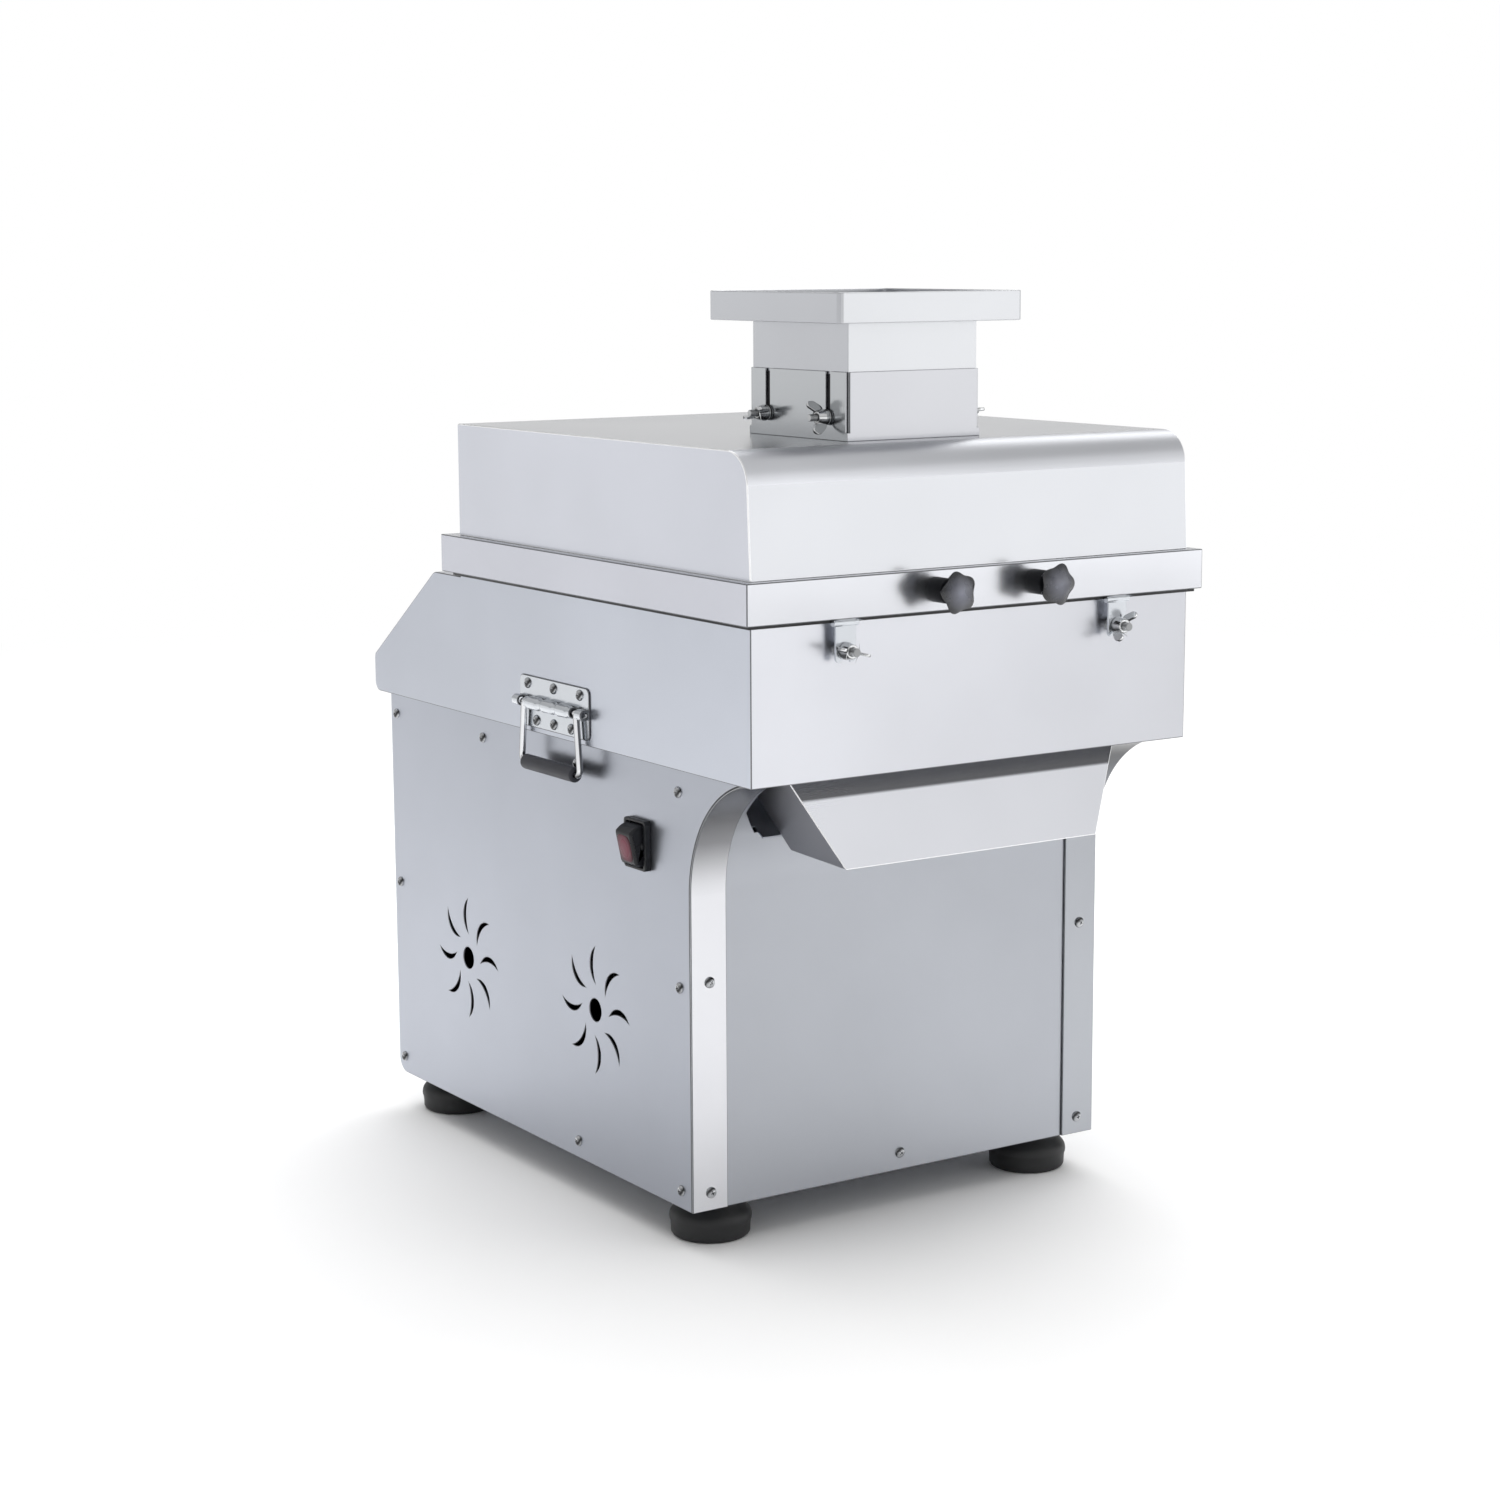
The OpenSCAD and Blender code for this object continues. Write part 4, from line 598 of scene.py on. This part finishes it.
starKnob = {"radius": 0.0152, "head": 0.0102, "lobes": 5, "lobe": 0.082, "dome": 0.0046, "hub": 0.0088,
            "rings": (0.06, 0.12, 0.22, 0.25), "rim": 0.13, "hubRim": 0.06, "overlap": 0.02,  # of the radius
            "highlightReach": 0.013, "highlightMost": 14.0,
            "turns": {"left_star_knob": 105, "right_star_knob": 72}}


def makeKnobHead(turn, size):  # one unit in radius, facing up
    deselectAll()
    bpy.ops.mesh.primitive_circle_add(vertices=80, radius=1, fill_type="NGON")
    head = bpy.context.object
    bpy.ops.object.mode_set(mode="EDIT")
    bpy.ops.mesh.select_mode(type="FACE")
    for ring in size["rings"]:
        bpy.ops.mesh.inset(thickness=ring, depth=0)
    bpy.ops.object.mode_set(mode="OBJECT")
    for point in head.data.vertices:  # lobes fade towards the middle, which is domed
        angle = math.atan2(point.co.y, point.co.x) - math.radians(turn)
        reach = point.co.length
        swell = 1 - size["lobe"] * reach ** 2 * (1 - math.cos(size["lobes"] * angle))
        point.co.z = size["dome"] * (1 - reach ** 2) / size["radius"]
        point.co.x *= swell
        point.co.y *= swell
    addThickness(head, size["head"] / size["radius"], -1)
    addBevel(head, size["rim"], 4, 50)
    applyAll(head)
    return head


def makeKnobHub(depth, size):
    deselectAll()
    bpy.ops.mesh.primitive_cylinder_add(vertices=40, radius=1, depth=1)
    hub = bpy.context.object
    back = (depth - size["head"] - size["dome"]) / size["radius"] + size["overlap"]
    hub.scale = (size["hub"] / size["radius"], size["hub"] / size["radius"], back)
    hub.location = (0, 0, size["overlap"] - size["head"] / size["radius"] - back / 2)
    settle(hub)
    addBevel(hub, size["hubRim"], 3)
    applyAll(hub)
    return hub


def makeStarKnob(node, turn, size):
    low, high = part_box(node)
    middle = (low + high) / 2
    centre = Vector((middle.x, low.y, high.z - size["radius"]))  # on the axis, at the front face
    head = makeKnobHead(turn, size)
    paint(head, finishOf[node])
    # painted highlight in the middle of the knob's face
    paintHighlightMiddle(finishOf[node], centre, size["highlightReach"], size["highlightMost"])
    hub = makeKnobHub(high.y - low.y, size)
    # painted shade on the hub
    paint(hub, hubPlastic)
    knob = joinAll([head, hub], node + "_moulded")
    stand = Matrix.Rotation(math.radians(90), 4, "X")
    scale = Matrix.Scale(size["radius"], 4)
    knob.matrix_world = Matrix.Translation(centre + Vector((0, size["dome"], 0))) @ stand @ scale
    settle(knob)
    smooth(knob, 45)
    slots = [face.material_index for face in knob.data.polygons]
    dress(knob, node, finishOf[node], hubPlastic, slots=slots)


for node, turn in starKnob["turns"].items():
    makeStarKnob(node, turn, starKnob)
print("star knobs made")

rocker = {"pivot": (-0.188, -0.112, 0.2905), "tilt": 12, "face": 0.0096, "lens": (0.0016, 0.0175, 0.0205),
          "corner": 0.005, "edge": 0.0022, "lensRim": 0.0006}


def makeRocker(size):
    drum = easeEdges("switch_rocker", size["edge"], segments=5)
    dress(drum, "switch_rocker", mouldedPlastic)
    thick, wide, tall = size["lens"]
    deselectAll()
    bpy.ops.mesh.primitive_plane_add(size=1)
    lens = bpy.context.object
    lens.name = "rockerLens"
    lens.scale = (tall, wide, 1)
    settle(lens)
    lens.rotation_euler = (0, math.radians(-90), 0)
    settle(lens)
    bpy.ops.object.mode_set(mode="EDIT")
    bpy.ops.mesh.select_all(action="SELECT")
    bpy.ops.mesh.bevel(offset=size["corner"], segments=6, affect="VERTICES")
    bpy.ops.object.mode_set(mode="OBJECT")
    addThickness(lens, thick, 0)
    addBevel(lens, size["lensRim"], 3)
    applyAll(lens)
    lean = Matrix.Rotation(math.radians(-size["tilt"]), 4, "Y")
    out = Matrix.Translation((-size["face"], 0, 0))
    lens.matrix_world = Matrix.Translation(size["pivot"]) @ lean @ out
    settle(lens)
    smooth(lens, 40)
    dress(lens, "switch_rocker", rockerLens, replaced=False)


makeRocker(rocker)
print("rocker made")

bailWire = {"radius": 0.0025, "steps": 10, "half": 0.039, "splay": 0.005, "drop": 0.046, "bend": 0.005,
            "pinOver": 0.003, "pinIn": 0.0015, "pinRim": 0.0006, "endFacing": 0.9}


def bailPath(size):  # across and up from the pins: down one leg, along the rod, up the other leg
    lean = math.atan(size["splay"] / size["drop"])
    reach = size["bend"] * math.tan(math.radians(45) + lean / 2)
    rod = size["half"] + size["splay"] - reach
    path = [(size["half"], 0.0)]
    for k in range(size["steps"] + 1):  # bend from the leg round to the rod
        angle = lean - (math.radians(90) + lean) * k / size["steps"]
        across = rod + size["bend"] * math.cos(angle)
        up = size["bend"] - size["drop"] + size["bend"] * math.sin(angle)
        path.append((across, up))
    return path + [(-across, up) for across, up in reversed(path)]


def makePin(centre, size):  # stub that turns in the rolled barrel
    deselectAll()
    length = 2 * size["radius"] + size["pinOver"]
    bpy.ops.mesh.primitive_cylinder_add(vertices=28, radius=size["radius"], depth=length)
    pin = bpy.context.object
    pin.matrix_world = Matrix.Translation(centre) @ Matrix.Rotation(math.radians(90), 4, "X")
    settle(pin)
    addBevel(pin, size["pinRim"], 2)
    applyAll(pin)
    return pin


def makeBail(node, size):
    low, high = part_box(node)
    x = (low.x + high.x) / 2
    y = (low.y + high.y) / 2
    top = high.z - size["radius"]
    path = bailPath(size)
    curve = bpy.data.curves.new(node + "_wire", "CURVE")
    curve.dimensions = "3D"
    curve.bevel_depth = size["radius"]
    curve.bevel_resolution = 6
    curve.use_fill_caps = True
    line = curve.splines.new("POLY")
    line.points.add(len(path) - 1)
    for point, (across, up) in zip(line.points, path):
        point.co = (x, y + across, top + up, 1)
    activate(addObject(node + "_wire", curve))
    bpy.ops.object.convert(target="MESH")
    wire = bpy.context.object
    pinAcross = size["half"] - size["pinIn"]
    pins = [makePin((x, y + side * pinAcross, top), size) for side in (-1, 1)]
    wire = joinAll([wire] + pins, node + "_wire")
    smooth(wire, 45)
    slots = []
    for face in wire.data.polygons:  # the ends of the pins take painted shade, standing for the barrel's dark open ends
        isEnd = abs(face.normal.y) > size["endFacing"] and abs(face.center.y - y) > size["half"]
        slots.append(int(isEnd))
    dress(wire, node, wireSteel, edgeShade, slots=slots)


for node in ("left_handle_bail", "right_handle_bail"):
    makeBail(node, bailWire)
print("bails made")


skirtShadeLine = {"gap": 0.0004, "width": 0.0038, "drop": 0.0024, "rise": 0.004, "rearOver": 0.016,
            "clear": 0.01, "rim": 0.0005}


def makeBox(low, high):
    deselectAll()
    bpy.ops.mesh.primitive_cube_add(size=1)
    piece = bpy.context.object
    piece.scale = Vector(high) - Vector(low)
    piece.location = (Vector(high) + Vector(low)) / 2
    settle(piece)
    return piece


def makeSkirtShadeLine(size):  # painted shade: a black strip inside the skirt where its edge only casts shade, seen as the dark line over the basin
    basinLow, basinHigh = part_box("basin")
    skirtLow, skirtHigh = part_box("hood_skirt")
    low = Vector((basinLow.x, basinLow.y, skirtLow.z - size["drop"]))
    high = Vector((basinHigh.x, skirtHigh.y - size["rearOver"], skirtLow.z + size["rise"]))
    inside = Vector((size["gap"], size["gap"], 0))
    outside = inside + Vector((size["width"], size["width"], 0))
    outer = makeBox(low - outside, high + outside)
    tall = Vector((0, 0, size["clear"]))
    inner = makeBox(low - inside - tall, high + inside + tall)
    cutAway(outer, inner)
    addBevel(outer, size["rim"], 2)
    applyAll(outer)
    outer.name = "skirtShadeLine"
    smooth(outer, 35)
    paint(outer, mouldedRubber)
    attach(outer, bodyOf["hood_skirt"])


# painted shade under the skirt's edge
makeSkirtShadeLine(skirtShadeLine)
print("hood shadeLine made")

slotShade = {"wide": 0.005, "tall": 0.034, "thick": 0.0003, "below": 0.004, "sunk": 0.0001, "rim": 0.0001,
             "widestStud": 0.0065}


def makeSlotShades(size):  # painted shade: dark strips on the feed tube behind the collar's slots, where the slots show only shade
    tubeLow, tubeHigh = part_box("feed_tube")
    shadeStrips = []
    for low, high in looseBoxes("feed_studs"):
        if high.y - low.y > size["widestStud"]:  # a washer
            continue
        middle = (low + high) / 2
        side = 1 if middle.x > (tubeLow.x + tubeHigh.x) / 2 else -1
        wall = tubeHigh.x if side > 0 else tubeLow.x
        bottom = middle.z - size["below"]
        edges = sorted((wall - side * size["sunk"], wall + side * size["thick"]))
        shadeStrips.append(makeBox((edges[0], middle.y - size["wide"] / 2, bottom),
                             (edges[1], middle.y + size["wide"] / 2, bottom + size["tall"])))
    shadeStrip = joinAll(shadeStrips, "slotShades")
    addBevel(shadeStrip, size["rim"], 2)
    applyAll(shadeStrip)
    smooth(shadeStrip, 35)
    paint(shadeStrip, mouldedPlastic)
    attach(shadeStrip, bodyOf["feed_tube"])
    print("slide tapes:", len(shadeStrips))


makeSlotShades(slotShade)


# floor, lights and camera

paleFloor = {"radius": 30.0, "tone": 0.9, "patch": 0.01, "patchScale": 3.0, "rough": 0.75, "shine": 0.2,
             "fade": (0.9, 3.4)}


def makeFloor(size):
    deselectAll()
    bpy.ops.mesh.primitive_circle_add(vertices=96, radius=size["radius"], fill_type="NGON")
    floor = bpy.context.object
    floor.name = "studioFloor"
    material, tree, shader = startMaterial("paleFloor", (size["tone"],) * 3, size["rough"])
    soft = noiseOn(tree, evenly, size["patchScale"], detail=2.0)
    tint(tree, shader, soft, (size["tone"] - size["patch"],) * 3, (size["tone"] + size["patch"],) * 3)
    shader.inputs["Specular IOR Level"].default_value = size["shine"]
    away = lengthOf(tree, objectCoords(tree))
    fade = remap(tree, away, 0.0, 1.0, size["fade"])  # the paper runs out into white
    white = addNode(tree, "ShaderNodeEmission", Strength=1.0)
    mix = addNode(tree, "ShaderNodeMixShader")
    tree.links.new(fade, mix.inputs["Fac"])
    tree.links.new(shader.outputs["BSDF"], mix.inputs[1])
    tree.links.new(white.outputs["Emission"], mix.inputs[2])
    tree.links.new(mix.outputs["Shader"], tree.nodes["Material Output"].inputs["Surface"])
    paint(floor, material)


makeFloor(paleFloor)

lightAim = Vector((0, 0, 0.35))  # the middle of the machine
softBoxes = {
    "keyRight": {"at": (3.2, -3.4, 1.3), "size": (4.0, 3.0), "power": 22},
    "sideLeft": {"at": (-2.7, 3.5, 1.2), "size": (3.2, 1.6), "power": 2},
    "topBack": {"at": (1.73, 1.6, 2.64), "size": (3.2, 1.1), "power": 20},
    "overhead": {"at": (0.4, 0.6, 3.6), "size": (5.0, 5.0), "power": 160, "onlyShade": True},
}


def hangLight(name, place):
    data = bpy.data.lights.new(name, "AREA")
    data.shape = "RECTANGLE"
    data.size, data.size_y = place["size"]
    data.energy = place["power"]
    lamp = addObject(name, data)
    lamp.location = place["at"]
    beam = lightAim - Vector(place["at"])
    lamp.rotation_euler = beam.to_track_quat("-Z", "Y").to_euler()
    lamp.visible_glossy = not place.get("onlyShade", False)  # kept out of the steel's reflections


for name, place in softBoxes.items():
    hangLight(name, place)

# each pair is the height of a direction and the sky's tone there
skyTones = [(0.0, 1.0), (0.08, 1.0), (0.14, 0.45), (0.3, 0.48), (0.45, 0.62), (1.0, 0.68)]


def hangSky(tones):
    world = bpy.data.worlds.new("studioSky")
    world.use_nodes = True
    tree = world.node_tree
    place = addNode(tree, "ShaderNodeTexCoord")
    split = addNode(tree, "ShaderNodeSeparateXYZ")
    ramp = addNode(tree, "ShaderNodeValToRGB")
    steps = ramp.color_ramp.elements
    while len(steps) < len(tones):
        steps.new(0.5)
    for step, (height, tone) in zip(steps, tones):
        step.position = height
        step.color = (tone, tone, tone, 1)
    tree.links.new(place.outputs["Generated"], split.inputs["Vector"])
    tree.links.new(split.outputs["Z"], ramp.inputs["Fac"])
    rays = addNode(tree, "ShaderNodeLightPath")  # the backdrop itself is plain white
    shown = combine(tree, ramp.outputs["Color"], rays.outputs["Is Camera Ray"], "MAXIMUM")
    tree.links.new(shown, tree.nodes["Background"].inputs["Color"])
    bpy.context.scene.world = world


hangSky(skyTones)
bpy.context.scene.view_settings.view_transform = "Standard"
bpy.context.scene.view_settings.look = "None"

photoView = {"at": (-1.2731, -1.9151, 0.7141), "yaw": 33.28, "pitch": 9.59, "roll": -0.28,
             "lens": 71.256, "sensor": 36, "farthest": 100}


def placeCamera(view):
    data = bpy.data.cameras.new("photoCamera")
    data.lens = view["lens"]
    data.sensor_width = view["sensor"]
    data.clip_end = view["farthest"]
    camera = addObject("photoCamera", data)
    turn = Matrix.Rotation(math.radians(-view["yaw"]), 4, "Z")
    tilt = Matrix.Rotation(math.radians(90 - view["pitch"]), 4, "X")
    roll = Matrix.Rotation(math.radians(view["roll"]), 4, "Z")
    camera.matrix_world = Matrix.Translation(view["at"]) @ turn @ tilt @ roll
    bpy.context.scene.camera = camera


placeCamera(photoView)
print("stage set")
